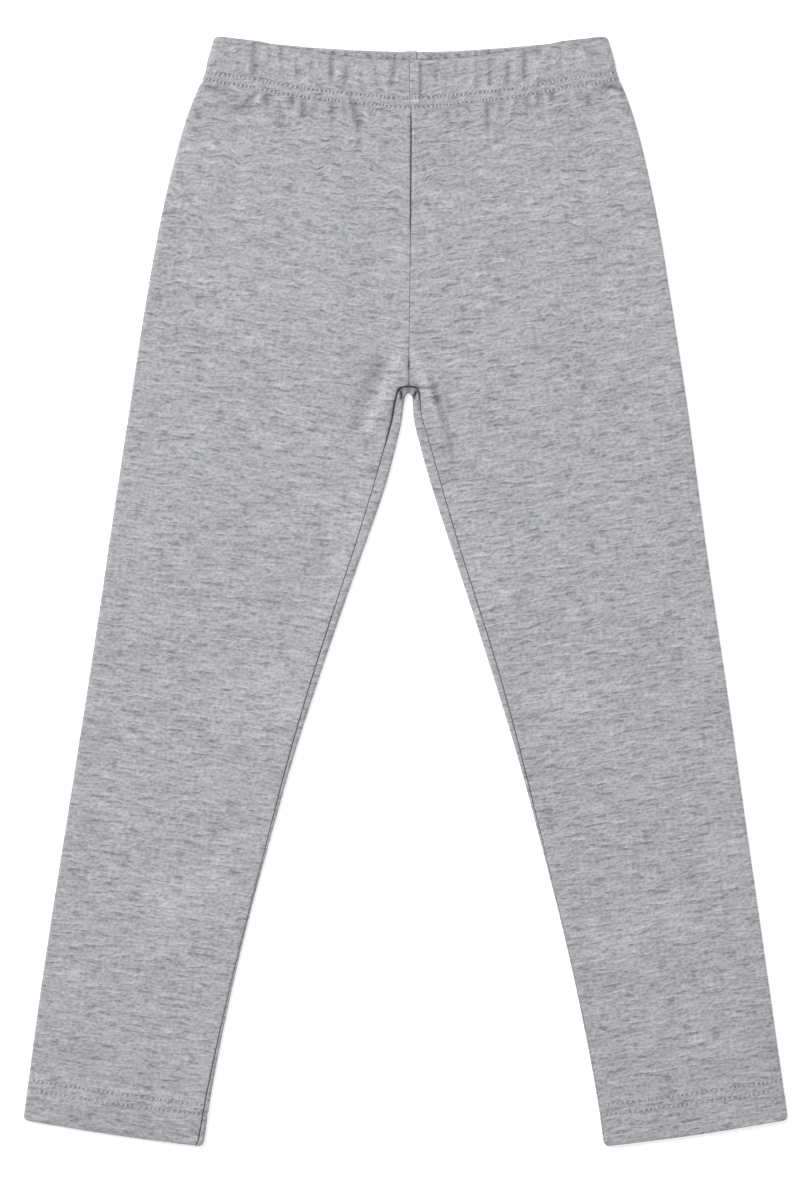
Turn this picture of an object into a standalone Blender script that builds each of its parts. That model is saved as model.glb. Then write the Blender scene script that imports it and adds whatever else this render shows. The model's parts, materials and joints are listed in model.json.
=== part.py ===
"""A child's plain jersey leggings, laid flat on a table with the front up.

X runs to the wearer's left, Y up to the waist and Z away from the table, all in metres.
Each leg is one piece of cloth that folds at the side: its front and back rises meet the
other leg at the centre seams, and its two inseam edges meet a little in front of the
inner fold.  The waist casing is turned over an elastic and the hems are turned once, so
both are thicker walls.  A place on the cloth is first worked out in plan, as its distance
out from the centre seams and its drop below the highest line of the waist.
"""

import math
from collections import namedtuple

import bpy

Point = namedtuple("Point", "x drop")
Edge = namedtuple("Edge", "drop half")
Rise = namedtuple("Rise", "drop rise")
Inset = namedtuple("Inset", "drop right left")
Loft = namedtuple("Loft", "below height")
Gather = namedtuple("Gather", "across casing leg length slant")
Crease = namedtuple("Crease", "x drop end_x end_drop width height")
Leg = namedtuple("Leg", "name side lean gathers creases")
Row = namedtuple("Row", "seam side back fold out inset loft wall sink below sag dense")

# Walls and seams
PLY = 0.0010  # one ply of brushed jersey with its nap
HEM_WALL = 0.0018  # two plies, pressed by the stitching
CASING_WALL = 0.0028  # two plies with the elastic between them
SEAM_GAP = 0.0003
LEAST_AIR = 0.0004  # between the front and the back cloth

# Waist casing
CASING_HEIGHT = 0.0267
CASING_TOP_HALF = 0.1145
CASING_BASE_HALF = 0.1209
CASING_LOFT = 0.0070  # both walls and the air between them
BACK_DIP = 0.0094  # how far the waist sags from the sides to the centre back
FRONT_DIP = 0.0044  # how much lower the centre front lies than the centre back
FRONT_DIP_SPREAD = 0.78  # share of the half width over which it runs out
ALLOWANCE_WIDTH = 0.0062  # the centre front seam's turnings, folded to the left side
ALLOWANCE_LIFT = 0.0004
ALLOWANCE_STEP = 0.0010
CASING_EDGE = ((0.0, 0.0009), (0.0004, 0.0004), (0.0014, 0.0))  # down from the top, shaved
INNER_PRESS = 0.4  # how much of a gather shows on the casing's inner side

# Legs
HEM_DROP = 0.6435
HEM_DEPTH = 0.0220
GATHER_ROWS = (0.0, 0.004, 0.009, 0.015, 0.023)  # below the casing
HIP_ROWS = 7
FORK_ROWS = 6
FORK_SIDE_DROPS = (0.1830, 0.1960)  # where the fork's first and last rows meet the side
THIGH_ROWS = (0.2165, 0.2250, 0.2360, 0.2520)
LEG_ROWS = 13
HEM_ROWS = (0.0222, 0.0210, 0.0105, 0.0)  # above the hem edge
FORK_SEAM_DROP = 0.2027  # where the four seams meet
FORK_FOLD_DROP = 0.2069  # the edge of the cloth in the fork
FORK_ARC_DROP = 0.2108  # where the fork's arc runs into the inner edge
LEAN_START = 0.2150
SINK = 0.0007  # how far the cloth falls between its folded edges
SINK_RUN = 0.0220
HEM_SINK = 0.3  # of that, in the stiffer hem
CREASE_END = 0.0060

FRONT_COLUMNS = 14
COLUMN_GRADING = 1.7  # above 1, columns crowd towards the centre seam
BACK_COLUMNS = 8
FOLD_COLUMNS = 5
WRAP_COLUMNS = 6
EDGE_COLUMNS = 3
EDGE_SHARE = 0.027  # of the front, where those columns lie
LEAST_COLUMN = 0.0008
GATHER_WIDTH = 0.0021

SIDE_EDGE = (
    Edge(0.0270, 0.1212),
    Edge(0.0357, 0.1253),
    Edge(0.0450, 0.1288),
    Edge(0.0658, 0.1349),
    Edge(0.1006, 0.1427),
    Edge(0.1470, 0.1511),
    Edge(0.2050, 0.1601),
    Edge(0.3036, 0.1740),
    Edge(0.4974, 0.2030),
    Edge(0.6279, 0.2213),
)
INNER_EDGE = (
    Edge(FORK_ARC_DROP, 0.0026),
    Edge(0.2224, 0.0039),
    Edge(0.2340, 0.0064),
    Edge(0.2572, 0.0125),
    Edge(0.2804, 0.0200),
    Edge(0.3268, 0.0360),
    Edge(0.3732, 0.0510),
    Edge(0.4196, 0.0655),
    Edge(0.4660, 0.0783),
    Edge(0.5124, 0.0905),
    Edge(0.5588, 0.1012),
    Edge(0.6076, 0.1108),
    Edge(HEM_DROP, 0.1175),
)
ROW_RISE = (
    Rise(FORK_ARC_DROP, 0.0148),
    Rise(0.2340, 0.0168),
    Rise(0.3268, 0.0180),
    Rise(0.4200, 0.0176),
    Rise(HEM_DROP, 0.0156),
)
INSEAM = (
    Inset(FORK_FOLD_DROP, 0.0042, 0.0042),
    Inset(FORK_ARC_DROP, 0.0054, 0.0054),
    Inset(0.2282, 0.0064, 0.0060),
    Inset(0.2572, 0.0068, 0.0058),
    Inset(0.3036, 0.0052, 0.0046),
    Inset(0.3686, 0.0040, 0.0040),
    Inset(0.4312, 0.0023, 0.0020),
    Inset(0.5066, 0.0007, 0.0006),
    Inset(0.5936, 0.0020, 0.0006),
    Inset(HEM_DROP, 0.0034, 0.0006),
)
LEG_LOFT = (
    Loft(0.0, CASING_LOFT),
    Loft(0.012, 0.0060),
    Loft(0.030, 0.0045),
    Loft(0.055, 0.0037),
    Loft(0.090, 0.0036),
)
HEM_LOFT = 0.0046

RIGHT_GATHERS = (
    Gather(0.0116, 0.0005, 0.0002, 0.006, 0.0),
    Gather(0.0191, 0.0006, 0.0006, 0.009, 0.0),
    Gather(0.0262, 0.0005, 0.0003, 0.006, 0.0),
    Gather(0.0325, 0.0004, 0.0009, 0.018, -0.2),
    Gather(0.0458, 0.0006, 0.0007, 0.011, 0.0),
    Gather(0.0560, 0.0006, 0.0003, 0.006, 0.2),
    Gather(0.0645, 0.0004, 0.0007, 0.011, 0.2),
    Gather(0.0748, 0.0004, 0.0005, 0.008, 0.3),
    Gather(0.0830, 0.0007, 0.0007, 0.010, 0.8),
    Gather(0.0911, 0.0007, 0.0006, 0.013, 1.1),
    Gather(0.0980, 0.0005, 0.0004, 0.008, 0.8),
    Gather(0.1055, 0.0005, 0.0004, 0.008, 0.6),
)
LEFT_GATHERS = (
    Gather(0.0150, 0.0005, 0.0003, 0.007, 0.0),
    Gather(0.0220, 0.0004, 0.0005, 0.009, 0.1),
    Gather(0.0290, 0.0005, 0.0003, 0.006, 0.0),
    Gather(0.0377, 0.0005, 0.0004, 0.007, 0.0),
    Gather(0.0458, 0.0006, 0.0009, 0.014, 0.0),
    Gather(0.0563, 0.0005, 0.0003, 0.006, 0.1),
    Gather(0.0661, 0.0007, 0.0005, 0.009, 0.0),
    Gather(0.0731, 0.0004, 0.0006, 0.009, 0.2),
    Gather(0.0835, 0.0005, 0.0005, 0.008, 0.3),
    Gather(0.0928, 0.0005, 0.0004, 0.008, 0.4),
    Gather(0.1010, 0.0004, 0.0005, 0.009, 0.6),
    Gather(0.1080, 0.0005, 0.0006, 0.010, 0.6),
)
RIGHT_CREASES = (
    Crease(0.0085, 0.1740, 0.0150, 0.2320, 0.0034, 0.0006),
    Crease(0.0150, 0.1860, 0.0235, 0.2250, 0.0040, -0.0005),
    Crease(0.0240, 0.1760, 0.0360, 0.2080, 0.0050, 0.0003),
    Crease(0.0230, 0.2550, 0.0480, 0.3400, 0.0090, 0.0003),
    Crease(0.0700, 0.3700, 0.1150, 0.4000, 0.0120, 0.0003),
    Crease(0.1000, 0.4900, 0.1500, 0.5050, 0.0130, 0.0003),
)
LEFT_CREASES = (
    Crease(0.0085, 0.1780, 0.0135, 0.2200, 0.0032, 0.0006),
    Crease(0.0150, 0.1930, 0.0270, 0.2520, 0.0040, -0.0006),
    Crease(0.0230, 0.1800, 0.0340, 0.2300, 0.0050, 0.0004),
    Crease(0.0260, 0.2600, 0.0500, 0.3300, 0.0090, 0.0003),
    Crease(0.0850, 0.3900, 0.1250, 0.3750, 0.0120, 0.0003),
    Crease(0.1100, 0.5250, 0.1600, 0.5100, 0.0130, 0.0003),
)
LEGS = (
    Leg("right", -1, 0.0023, RIGHT_GATHERS, RIGHT_CREASES),
    Leg("left", 1, -0.0023, LEFT_GATHERS, LEFT_CREASES),
)
GREY = (0.420, 0.425, 0.447, 1.0)
SHARP_EDGE = math.radians(40)

CENTRE = SEAM_GAP / 2  # how far each side stays off the centre seams


def mix(low, high, share):
    return low + (high - low) * share


def ease(share):
    """0 to 1 with flat ends."""
    share = min(max(share, 0.0), 1.0)
    return share * share * (3 - 2 * share)


def along(table, at, column=1):
    """A column of a table, at a value of its first column, on a smooth curve."""
    keys = [row[0] for row in table]
    values = [row[column] for row in table]
    at = min(max(at, keys[0]), keys[-1])
    last = len(keys) - 2
    i = min(sum(key <= at for key in keys[1:]), last)

    def slope(k):
        low, high = max(k - 1, 0), min(k + 1, last + 1)
        return (values[high] - values[low]) / (keys[high] - keys[low])

    span = keys[i + 1] - keys[i]
    t = (at - keys[i]) / span
    start, end = slope(i) * span, slope(i + 1) * span
    return (
        (2 * t**3 - 3 * t**2 + 1) * values[i]
        + (t**3 - 2 * t**2 + t) * start
        + (3 * t**2 - 2 * t**3) * values[i + 1]
        + (t**3 - t**2) * end
    )


# The casing


CASING_FLAT = CASING_BASE_HALF - CASING_LOFT / 2 - CENTRE  # out to where its side turns


def casing_drop(share, height, front):
    """Drop of a line that runs at a height above the casing's base, at a share of its half."""
    dip = BACK_DIP * (1 - share**2)
    if front:
        dip += FRONT_DIP * max(0.0, 1 - (share / FRONT_DIP_SPREAD) ** 2)
    return dip + CASING_HEIGHT - height


def gather_depth(gathers, share, below=None):
    """How far the gathers press in: on the casing, or at a distance below it."""
    depth = 0.0
    for gather in gathers:
        place, deepest = gather.across, gather.casing
        if below is not None:
            place += gather.slant * below
            deepest = gather.leg * (1 - ease(below / gather.length))
        aside = (share * CASING_FLAT - place) / GATHER_WIDTH
        depth += deepest * math.exp(-(aside**2))
    return depth


def dense_shares(gathers):
    """Shares of the half width that catch every gather's trough and both its shoulders."""
    shares = [0.0, 1.0]
    shares += [width / CASING_FLAT for width in (ALLOWANCE_WIDTH, ALLOWANCE_WIDTH + ALLOWANCE_STEP)]
    for gather in gathers:
        shares += [(gather.across + shift) / CASING_FLAT for shift in (-GATHER_WIDTH, 0, GATHER_WIDTH)]
    shares.sort()
    kept = [shares[0]]
    for share in shares[1:]:
        if share - kept[-1] > LEAST_COLUMN / CASING_FLAT:
            kept.append(share)
    kept[-1] = 1.0
    return kept


def turn_shares():
    """Columns round the side, between the front's last (1) and the back's first (2)."""
    return [1 + k / FOLD_COLUMNS for k in range(1, FOLD_COLUMNS)]


def dense_columns(leg):
    front = dense_shares(leg.gathers)
    back = [3 - share for share in reversed(dense_shares(behind(leg).gathers))]
    return front + turn_shares() + back


def behind(leg):
    """The back of a leg gathers as the front of the other one does."""
    return LEGS[1 - LEGS.index(leg)]


def turned(centre, out, loft, angle, depth):
    """A point at a depth inside a folded edge, from its underside (-90) to its top (90)."""
    reach = loft / 2 - depth
    flat = math.cos(angle) * reach
    return (centre.x + out.x * flat, centre.drop + out.drop * flat, loft / 2 + math.sin(angle) * reach)


def side_angle(column):
    return math.pi * (1.5 - column)


def casing_pair(leg, column, down, shaved):
    """Outer and inner point of the casing's wall, at a distance below its top edge."""
    height = CASING_HEIGHT - down
    half = mix(CASING_TOP_HALF, CASING_BASE_HALF, down / CASING_HEIGHT)
    turn_at = half - CASING_LOFT / 2
    depths = (shaved, CASING_WALL - shaved)
    if 1 < column < 2:
        centre = Point(turn_at, casing_drop(1, height, True))
        return [turned(centre, Point(1, 0), CASING_LOFT, side_angle(column), depth) for depth in depths]
    front = column <= 1
    share = column if front else 3 - column
    x = mix(CENTRE, turn_at, share)
    drop = casing_drop(share, height, front)
    press = gather_depth((leg if front else behind(leg)).gathers, share)
    if front and leg.side > 0:
        press -= ALLOWANCE_LIFT * (1 - ease((x - ALLOWANCE_WIDTH) / ALLOWANCE_STEP))
    presses = (press, press * INNER_PRESS)
    heights = [depth + pressed for depth, pressed in zip(depths, presses)]
    return [(x, drop, CASING_LOFT - z if front else z) for z in heights]


def casing_rows(leg):
    columns = dense_columns(leg)
    rounded = [(down, shaved) for down, shaved in CASING_EDGE]
    plain = [(CASING_HEIGHT * share, 0.0) for share in (0.5, 1.0)]
    return [
        [(column, *casing_pair(leg, column, down, shaved)) for column in columns]
        for down, shaved in rounded + plain
    ]


# The legs


def side_point(drop):
    return Point(along(SIDE_EDGE, drop), drop)


def unit(start, end):
    length = math.dist(start, end)
    return Point((end.x - start.x) / length, (end.drop - start.drop) / length)


def moved(place, direction, distance):
    return Point(place.x + direction.x * distance, place.drop + direction.drop * distance)


def between(start, end, share):
    return Point(mix(start.x, end.x, share), mix(start.drop, end.drop, share))


def hip_rows():
    """Rows from the casing to the fork, whose ends lie on the centre seams."""
    front = casing_drop(0, 0, True) + SEAM_GAP
    back = casing_drop(0, 0, False) + SEAM_GAP
    back_end = FORK_FOLD_DROP - LEG_LOFT[-1].height / 2
    reach = FORK_SEAM_DROP - front
    belows = list(GATHER_ROWS)
    belows += [mix(GATHER_ROWS[-1], reach, k / HIP_ROWS) for k in range(1, HIP_ROWS)]
    rows = []
    for below in belows:
        share = below / reach
        side_drop = mix(CASING_HEIGHT + SEAM_GAP, FORK_SIDE_DROPS[0], share)
        rows.append(
            Row(
                seam=Point(CENTRE, front + below),
                side=side_point(side_drop),
                back=Point(CENTRE, mix(back, back_end, share)),
                fold=None,
                out=None,
                inset=0.0,
                loft=along(LEG_LOFT, below),
                wall=PLY,
                sink=SINK * ease(below / SINK_RUN),
                below=below,
                sag=1 - ease(share),
                dense=below <= GATHER_ROWS[-1],
            )
        )
    return rows


def forked_row(fold, side, out, inset, above_hem=None):
    """A row that goes round the inner fold and ends at the inseam."""
    hemmed = above_hem is not None and above_hem < HEM_DEPTH
    loft = HEM_LOFT if hemmed else LEG_LOFT[-1].height
    return Row(
        seam=moved(fold, out, -inset),
        side=side,
        back=moved(fold, out, -loft / 2),
        fold=fold,
        out=out,
        inset=inset,
        loft=loft,
        wall=HEM_WALL if hemmed else PLY,
        sink=SINK * (HEM_SINK if hemmed else 1),
        below=math.inf,
        sag=0.0,
        dense=False,
    )


def fork_rows():
    """Rows that fan round the fork, from the centre seams to the legs' inner edges."""
    deep = FORK_ARC_DROP - FORK_FOLD_DROP
    wide = INNER_EDGE[0].half
    rows = []
    for k in range(FORK_ROWS + 1):
        share = k / FORK_ROWS
        angle = share * math.pi / 2
        fold = Point(CENTRE + wide * math.sin(angle), FORK_ARC_DROP - deep * math.cos(angle))
        side = side_point(mix(*FORK_SIDE_DROPS, share))
        level = math.atan2(side.x - fold.x, fold.drop - side.drop)
        out = Point(-math.sin(level * share), math.cos(level * share))
        inset = mix(INSEAM[0].right, INSEAM[1].right, share)
        rows.append(forked_row(fold, side, out, inset))
    return rows


def leg_rows(leg):
    """Rows across the leg below the fork."""
    hem_start = HEM_DROP - HEM_ROWS[0]
    drops = list(THIGH_ROWS)
    drops += [mix(THIGH_ROWS[-1], hem_start, k / LEG_ROWS) for k in range(1, LEG_ROWS)]
    drops += [HEM_DROP - above for above in HEM_ROWS]
    inset_column = 1 + LEGS.index(leg)
    rows = []
    for drop in drops:
        fold = Point(CENTRE + along(INNER_EDGE, drop), drop)
        side = side_point(drop - along(ROW_RISE, drop))
        inset = along(INSEAM, drop, inset_column)
        rows.append(forked_row(fold, side, unit(side, fold), inset, HEM_DROP - drop))
    return rows


def crease_height(creases, place):
    height = 0.0
    for crease in creases:
        run = (crease.end_x - crease.x, crease.end_drop - crease.drop)
        length = math.hypot(*run)
        offset = (place.x - crease.x, place.drop - crease.drop)
        ahead = (offset[0] * run[0] + offset[1] * run[1]) / length
        aside = (offset[0] * run[1] - offset[1] * run[0]) / length / crease.width
        fade = ease(ahead / CREASE_END) * ease((length - ahead) / CREASE_END)
        height += crease.height * fade * math.exp(-(aside**2))
    return height


def upper_pair(leg, row, place, share):
    """Outer and inner point of the front cloth at a place in plan."""
    fold = row.fold or Point(CENTRE, FORK_FOLD_DROP)
    edges = ease(math.dist(place, fold) / SINK_RUN) * ease(math.dist(place, row.side) / SINK_RUN)
    height = row.loft - row.sink * edges + crease_height(leg.creases, place)
    if row.dense:
        height -= gather_depth(leg.gathers, share, row.below)
    height = max(height, 2 * row.wall + LEAST_AIR)
    return [(*place, height), (*place, height - row.wall)]


def sagged(place, row, share, front):
    """A place moved by as much as the casing's base bows from a straight line."""
    straight = mix(casing_drop(0, 0, front), CASING_HEIGHT, share)
    bow = casing_drop(share, 0, front) - straight
    return Point(place.x, place.drop + row.sag * bow)


def leg_pair(leg, row, column):
    """Outer and inner point of a leg's wall, in a column from the front seam (0) round the
    side (1 to 2) and across the back (2 to 3) to the end of the inner wrap (4)."""
    radius = row.loft / 2
    outward = unit(row.back, row.side)
    side_centre = moved(row.side, outward, -radius)
    if column <= 1:
        return front_pair(leg, row, column, side_centre)
    if column < 2:
        angle = side_angle(column)
        return [turned(side_centre, outward, row.loft, angle, depth) for depth in (0, row.wall)]
    if column <= 3:
        share = 3 - column
        place = sagged(between(row.back, side_centre, share), row, share, False)
        press = gather_depth(behind(leg).gathers, share, row.below) if row.dense else 0.0
        return [(*place, press), (*place, press + row.wall)]
    quarter = radius * math.pi / 2
    run = (column - 3) * (quarter + seam_run(row) - CENTRE) - quarter
    if run < quarter:
        return [turned(row.back, row.out, row.loft, run / radius, depth) for depth in (0, row.wall)]
    return upper_pair(leg, row, moved(row.back, row.out, quarter - run), 0.0)


def seam_run(row):
    """Length of cloth from the inner edge, over the top, to the inseam."""
    radius = row.loft / 2
    if row.inset < radius:
        return radius * math.acos(1 - row.inset / radius)
    return radius * math.pi / 2 + row.inset - radius


def front_pair(leg, row, share, side_centre):
    """The front cloth, which starts on the rounded inner edge where the inseam lies there."""
    radius = row.loft / 2
    quarter = radius * math.pi / 2
    first = seam_run(row) + CENTRE
    if row.fold is None or first >= quarter:
        start = moved(row.seam, row.out, -CENTRE) if row.out else row.seam
        place = sagged(between(start, side_centre, share), row, share, True)
        return upper_pair(leg, row, place, share)
    last = quarter + math.dist(row.back, side_centre)
    run = mix(first, last, share)
    if run < quarter:
        return [turned(row.back, row.out, row.loft, run / radius, depth) for depth in (0, row.wall)]
    place = between(row.back, side_centre, (run - quarter) / (last - quarter))
    return upper_pair(leg, row, place, share)


def plain_columns(wrapped):
    front = [EDGE_SHARE * k / EDGE_COLUMNS for k in range(EDGE_COLUMNS)]
    graded = [(k / FRONT_COLUMNS) ** COLUMN_GRADING for k in range(FRONT_COLUMNS + 1)]
    front += [mix(EDGE_SHARE, 1, share) for share in graded]
    back = [2 + k / BACK_COLUMNS for k in range(BACK_COLUMNS + 1)]
    wrap = [3 + k / WRAP_COLUMNS for k in range(1, WRAP_COLUMNS + 1)] if wrapped else []
    return front + turn_shares() + back + wrap


def cloth_rows(leg):
    rows = []
    for row in hip_rows() + fork_rows() + leg_rows(leg):
        columns = dense_columns(leg) if row.dense else plain_columns(row.fold is not None)
        rows.append([(column, *leg_pair(leg, row, column)) for column in columns])
    return rows


# Closed walls


def strip_faces(upper_row, lower_row):
    """Faces between two rows of (column, index), matching columns as they come."""
    last_column = min(upper_row[-1][0], lower_row[-1][0])
    upper_row = [entry for entry in upper_row if entry[0] <= last_column]
    lower_row = [entry for entry in lower_row if entry[0] <= last_column]
    faces = []
    i = j = 0
    while i < len(upper_row) - 1 or j < len(lower_row) - 1:
        above = upper_row[i + 1][0] if i < len(upper_row) - 1 else math.inf
        below = lower_row[j + 1][0] if j < len(lower_row) - 1 else math.inf
        face = [upper_row[i][1], lower_row[j][1]]
        if below <= above:
            j += 1
            face.append(lower_row[j][1])
        if above <= below:
            i += 1
            face.append(upper_row[i][1])
        faces.append(face)
    return faces


def wall_mesh(name, rows, leg):
    """A closed wall whose outer and inner skins follow rows of (column, outer, inner)."""
    outer, inner, indexed = [], [], []
    for row in rows:
        indexed.append([(column, len(outer) + k) for k, (column, _, _) in enumerate(row)])
        outer += [point for _, point, _ in row]
        inner += [point for _, _, point in row]
    skin = []
    for above, below in zip(indexed, indexed[1:]):
        skin += strip_faces(above, below)
    count = len(outer)
    edges = {(face[k - 1], face[k]) for face in skin for k in range(len(face))}
    rim = [[b, a, a + count, b + count] for a, b in sorted(edges) if (b, a) not in edges]
    lining = [[index + count for index in reversed(face)] for face in skin]
    faces = skin + rim + lining
    if leg.side < 0:
        faces = [face[::-1] for face in faces]
    mesh = bpy.data.meshes.new(name)
    mesh.from_pydata([placed(point, leg) for point in outer + inner], [], faces)
    return mesh


def placed(point, leg):
    """From plan to world: the leg leans out a little more or less below the fork."""
    x, drop, height = point
    share = max(0.0, (drop - LEAN_START) / (HEM_DROP - LEAN_START))
    lean = leg.lean * math.sin(share * math.pi / 2)
    return (leg.side * (x + lean), -drop, height)


def jersey():
    material = bpy.data.materials.new("grey_jersey")
    material.use_nodes = True
    shader = material.node_tree.nodes["Principled BSDF"]
    shader.inputs["Base Color"].default_value = GREY
    shader.inputs["Roughness"].default_value = 0.9
    shader.inputs["Metallic"].default_value = 0.0
    material.diffuse_color = GREY
    return material


def centre_on_table(objects):
    """Puts the middle of the garment's box over the origin."""
    corners = [vertex.co for obj in objects for vertex in obj.data.vertices]
    for axis in (0, 1):
        values = [corner[axis] for corner in corners]
        middle = (min(values) + max(values)) / 2
        for corner in corners:
            corner[axis] -= middle


def main():
    for obj in list(bpy.data.objects):
        bpy.data.objects.remove(obj)
    material = jersey()
    pieces = []
    for leg in LEGS:
        for piece, rows in (("leg", cloth_rows(leg)), ("waistband", casing_rows(leg))):
            mesh = wall_mesh(f"{piece}_{leg.name}", rows, leg)
            mesh.materials.append(material)
            mesh.shade_smooth()
            mesh.set_sharp_from_angle(angle=SHARP_EDGE)
            obj = bpy.data.objects.new(mesh.name, mesh)
            bpy.context.scene.collection.objects.link(obj)
            pieces.append(obj)
    centre_on_table(pieces)


main()
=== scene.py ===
"""The looks of a child's plain jersey leggings, laid flat with the front up, built round
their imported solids.

Each leg is one sheet of grey marl jersey.  It starts at the raw edge inside the waist
casing, goes up, over the top and down the outside, on down the leg, and turns under at the
hem.  It is worked out as lines across the cloth: from the centre front seam or the inseam,
out to the fold at the side, and back underneath to the sheet's other edge.  A place is first
found in plan, as its distance out from the centre seams and its drop below the highest line
of the waist.  Twin rows of stitching hold the casing and the hems.
"""

import json
import math
from collections import namedtuple

import bpy
import numpy as np
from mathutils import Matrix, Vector, noise

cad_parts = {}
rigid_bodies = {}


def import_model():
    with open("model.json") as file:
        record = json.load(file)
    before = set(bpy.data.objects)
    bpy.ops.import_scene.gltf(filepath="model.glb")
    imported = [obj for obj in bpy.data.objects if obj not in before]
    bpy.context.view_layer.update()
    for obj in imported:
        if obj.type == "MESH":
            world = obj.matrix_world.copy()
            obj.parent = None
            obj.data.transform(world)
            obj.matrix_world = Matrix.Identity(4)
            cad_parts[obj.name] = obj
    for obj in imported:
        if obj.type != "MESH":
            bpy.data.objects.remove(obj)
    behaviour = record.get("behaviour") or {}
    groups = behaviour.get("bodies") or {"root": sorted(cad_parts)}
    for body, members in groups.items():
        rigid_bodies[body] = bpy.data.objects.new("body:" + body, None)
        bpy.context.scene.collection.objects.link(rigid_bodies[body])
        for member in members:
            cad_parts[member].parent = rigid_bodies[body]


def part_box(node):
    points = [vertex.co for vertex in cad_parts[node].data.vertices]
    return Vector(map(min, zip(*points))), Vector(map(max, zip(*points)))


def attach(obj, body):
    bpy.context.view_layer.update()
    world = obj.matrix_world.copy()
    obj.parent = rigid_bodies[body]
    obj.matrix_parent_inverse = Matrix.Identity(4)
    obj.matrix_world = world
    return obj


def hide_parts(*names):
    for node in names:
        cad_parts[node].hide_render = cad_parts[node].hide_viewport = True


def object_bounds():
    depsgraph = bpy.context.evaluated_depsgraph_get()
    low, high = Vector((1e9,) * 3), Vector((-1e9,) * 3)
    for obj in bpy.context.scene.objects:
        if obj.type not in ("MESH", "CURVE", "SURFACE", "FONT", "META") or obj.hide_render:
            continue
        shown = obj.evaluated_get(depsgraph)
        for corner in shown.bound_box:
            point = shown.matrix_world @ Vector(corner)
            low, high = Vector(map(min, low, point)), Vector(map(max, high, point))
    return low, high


bl_info = {
    "name": "Jersey Leggings",
    "version": (1, 0, 0),
    "blender": (4, 5, 0),
    "location": "3D Viewport > Sidebar > Leggings",
    "description": "Plain marl jersey leggings laid flat, with their stitching and a stage",
    "category": "Object",
}

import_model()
CAD_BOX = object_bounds()

Edge = namedtuple("Edge", "drop half")
Rise = namedtuple("Rise", "drop rise")
Sides = namedtuple("Sides", "drop right left")
Loft = namedtuple("Loft", "below height")
Drift = namedtuple("Drift", "drop front back")
Crease = namedtuple("Crease", "across down end_across end_down width height")
Leg = namedtuple("Leg", "name side column lean puckers creases marks shades seed")
Marl = namedtuple("Marl", "length width detail tone relief seed")
Dash = namedtuple("Dash", "length width low high tone relief seed")
Wave = namedtuple("Wave", "across down detail high low start end")
Spread = namedtuple("Spread", "front turn back wrap")
Line = namedtuple(
    "Line",
    "seam side back loft sink half turn inward extra sewing fold out inset below sag bow",
    defaults=(None, None, 0.0, math.inf, 0.0, 0.0),
)
Strand = namedtuple("Strand", "places along ids ply hollow")


def rows_of(kind, *rows):
    """A table whose rows have the named columns of a kind."""
    return tuple(kind(*row) for row in rows)


# Where the garment lies
TOP_Y = CAD_BOX[1].y
SEAM_X = (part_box("waistband_right")[1].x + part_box("waistband_left")[0].x) / 2
CENTRE = 0.00005  # how far each side stays off a seam
SEAM_OPEN = 0.00005  # and how much further at a seam of full roll

# Waist casing
CASING_HEIGHT = 0.0267
CASING_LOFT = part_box("waistband_right")[1].z
CASING_HALF_WALL = 0.0014
CASING_TURNED_IN = 0.0252
BACK_DIP = 0.0083  # how far the waist sags from the sides to the centre back
BACK_DIP_CURVE = 1.7
FRONT_TOP_DIP = 0.0057  # how much lower the front's top edge lies than the back's
FRONT_TOP_SPREAD = 0.80  # share of the half width over which it runs out
FRONT_BASE_DIPS = (0.0094, 0.0044)  # the front's stitched base, a wide bow and a narrower one
FRONT_BASE_SPREAD = 0.78
CENTRE_BASE_DIP = 0.0019  # and how much lower still it is pulled at the centre seam
CENTRE_BASE_SPREAD = 0.20
ALLOWANCE_WIDTH = 0.0058  # the centre seams' turnings, folded to one side
ALLOWANCE_LIFT = 0.0005
ALLOWANCE_STEP = 0.0009
INNER_PRESS = 0.40  # how much of a pucker shows on the casing's inner side
EDGE_PRESS = 0.10  # and how much it notches the casing's top edge
CORNER = 0.0022  # rounding of the casing's corners
HEM_CORNER = 0.0034  # and of the hem's
CORNER_CUT = 0.6  # both as a share of a full quarter round

# Legs
HEM_DROP = TOP_Y - CAD_BOX[0].y
HEM_HALF_WALL = 0.0009
HEM_TURNED_UP = 0.0246
HEM_LOFT = 0.0046
HEM_LOFT_RUN = 0.0030
HEM_BOW = 0.0009  # how much lower the hem's middle lies than a straight line
HEM_BOW_RUN = 0.080
FORK_SIDE_DROPS = (0.1830, 0.1960)  # where the fork's first and last lines meet the side
FORK_SEAM_DROP = 0.2027  # where the four seams meet
FORK_FOLD_DROP = 0.2069  # the edge of the cloth in the fork
FORK_ARC_DROP = 0.2108  # where the fork's arc runs into the inner edge
FORK_SQUARE = 0.0008  # how much further out the seam runs at the fork's corners
LEAN_START = 0.2150  # below which a leg leans out
SINK = 0.0007  # how far the cloth falls between its folded edges
SINK_RUN = 0.0220
HEM_STIFFNESS = 0.7  # how much less it falls in a hem
CREASE_END = 0.0050  # run over which a crease fades at its ends
SEAM_FLANGE = 0.0005  # how far a rolled seam edge goes on down
ROLLED_PLY = 0.35  # share of the cloth's thickness in a rolled edge
FORK_SEAM_DIP = 0.0004
FORK_SEAM_DIP_RUN = 0.0006

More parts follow.
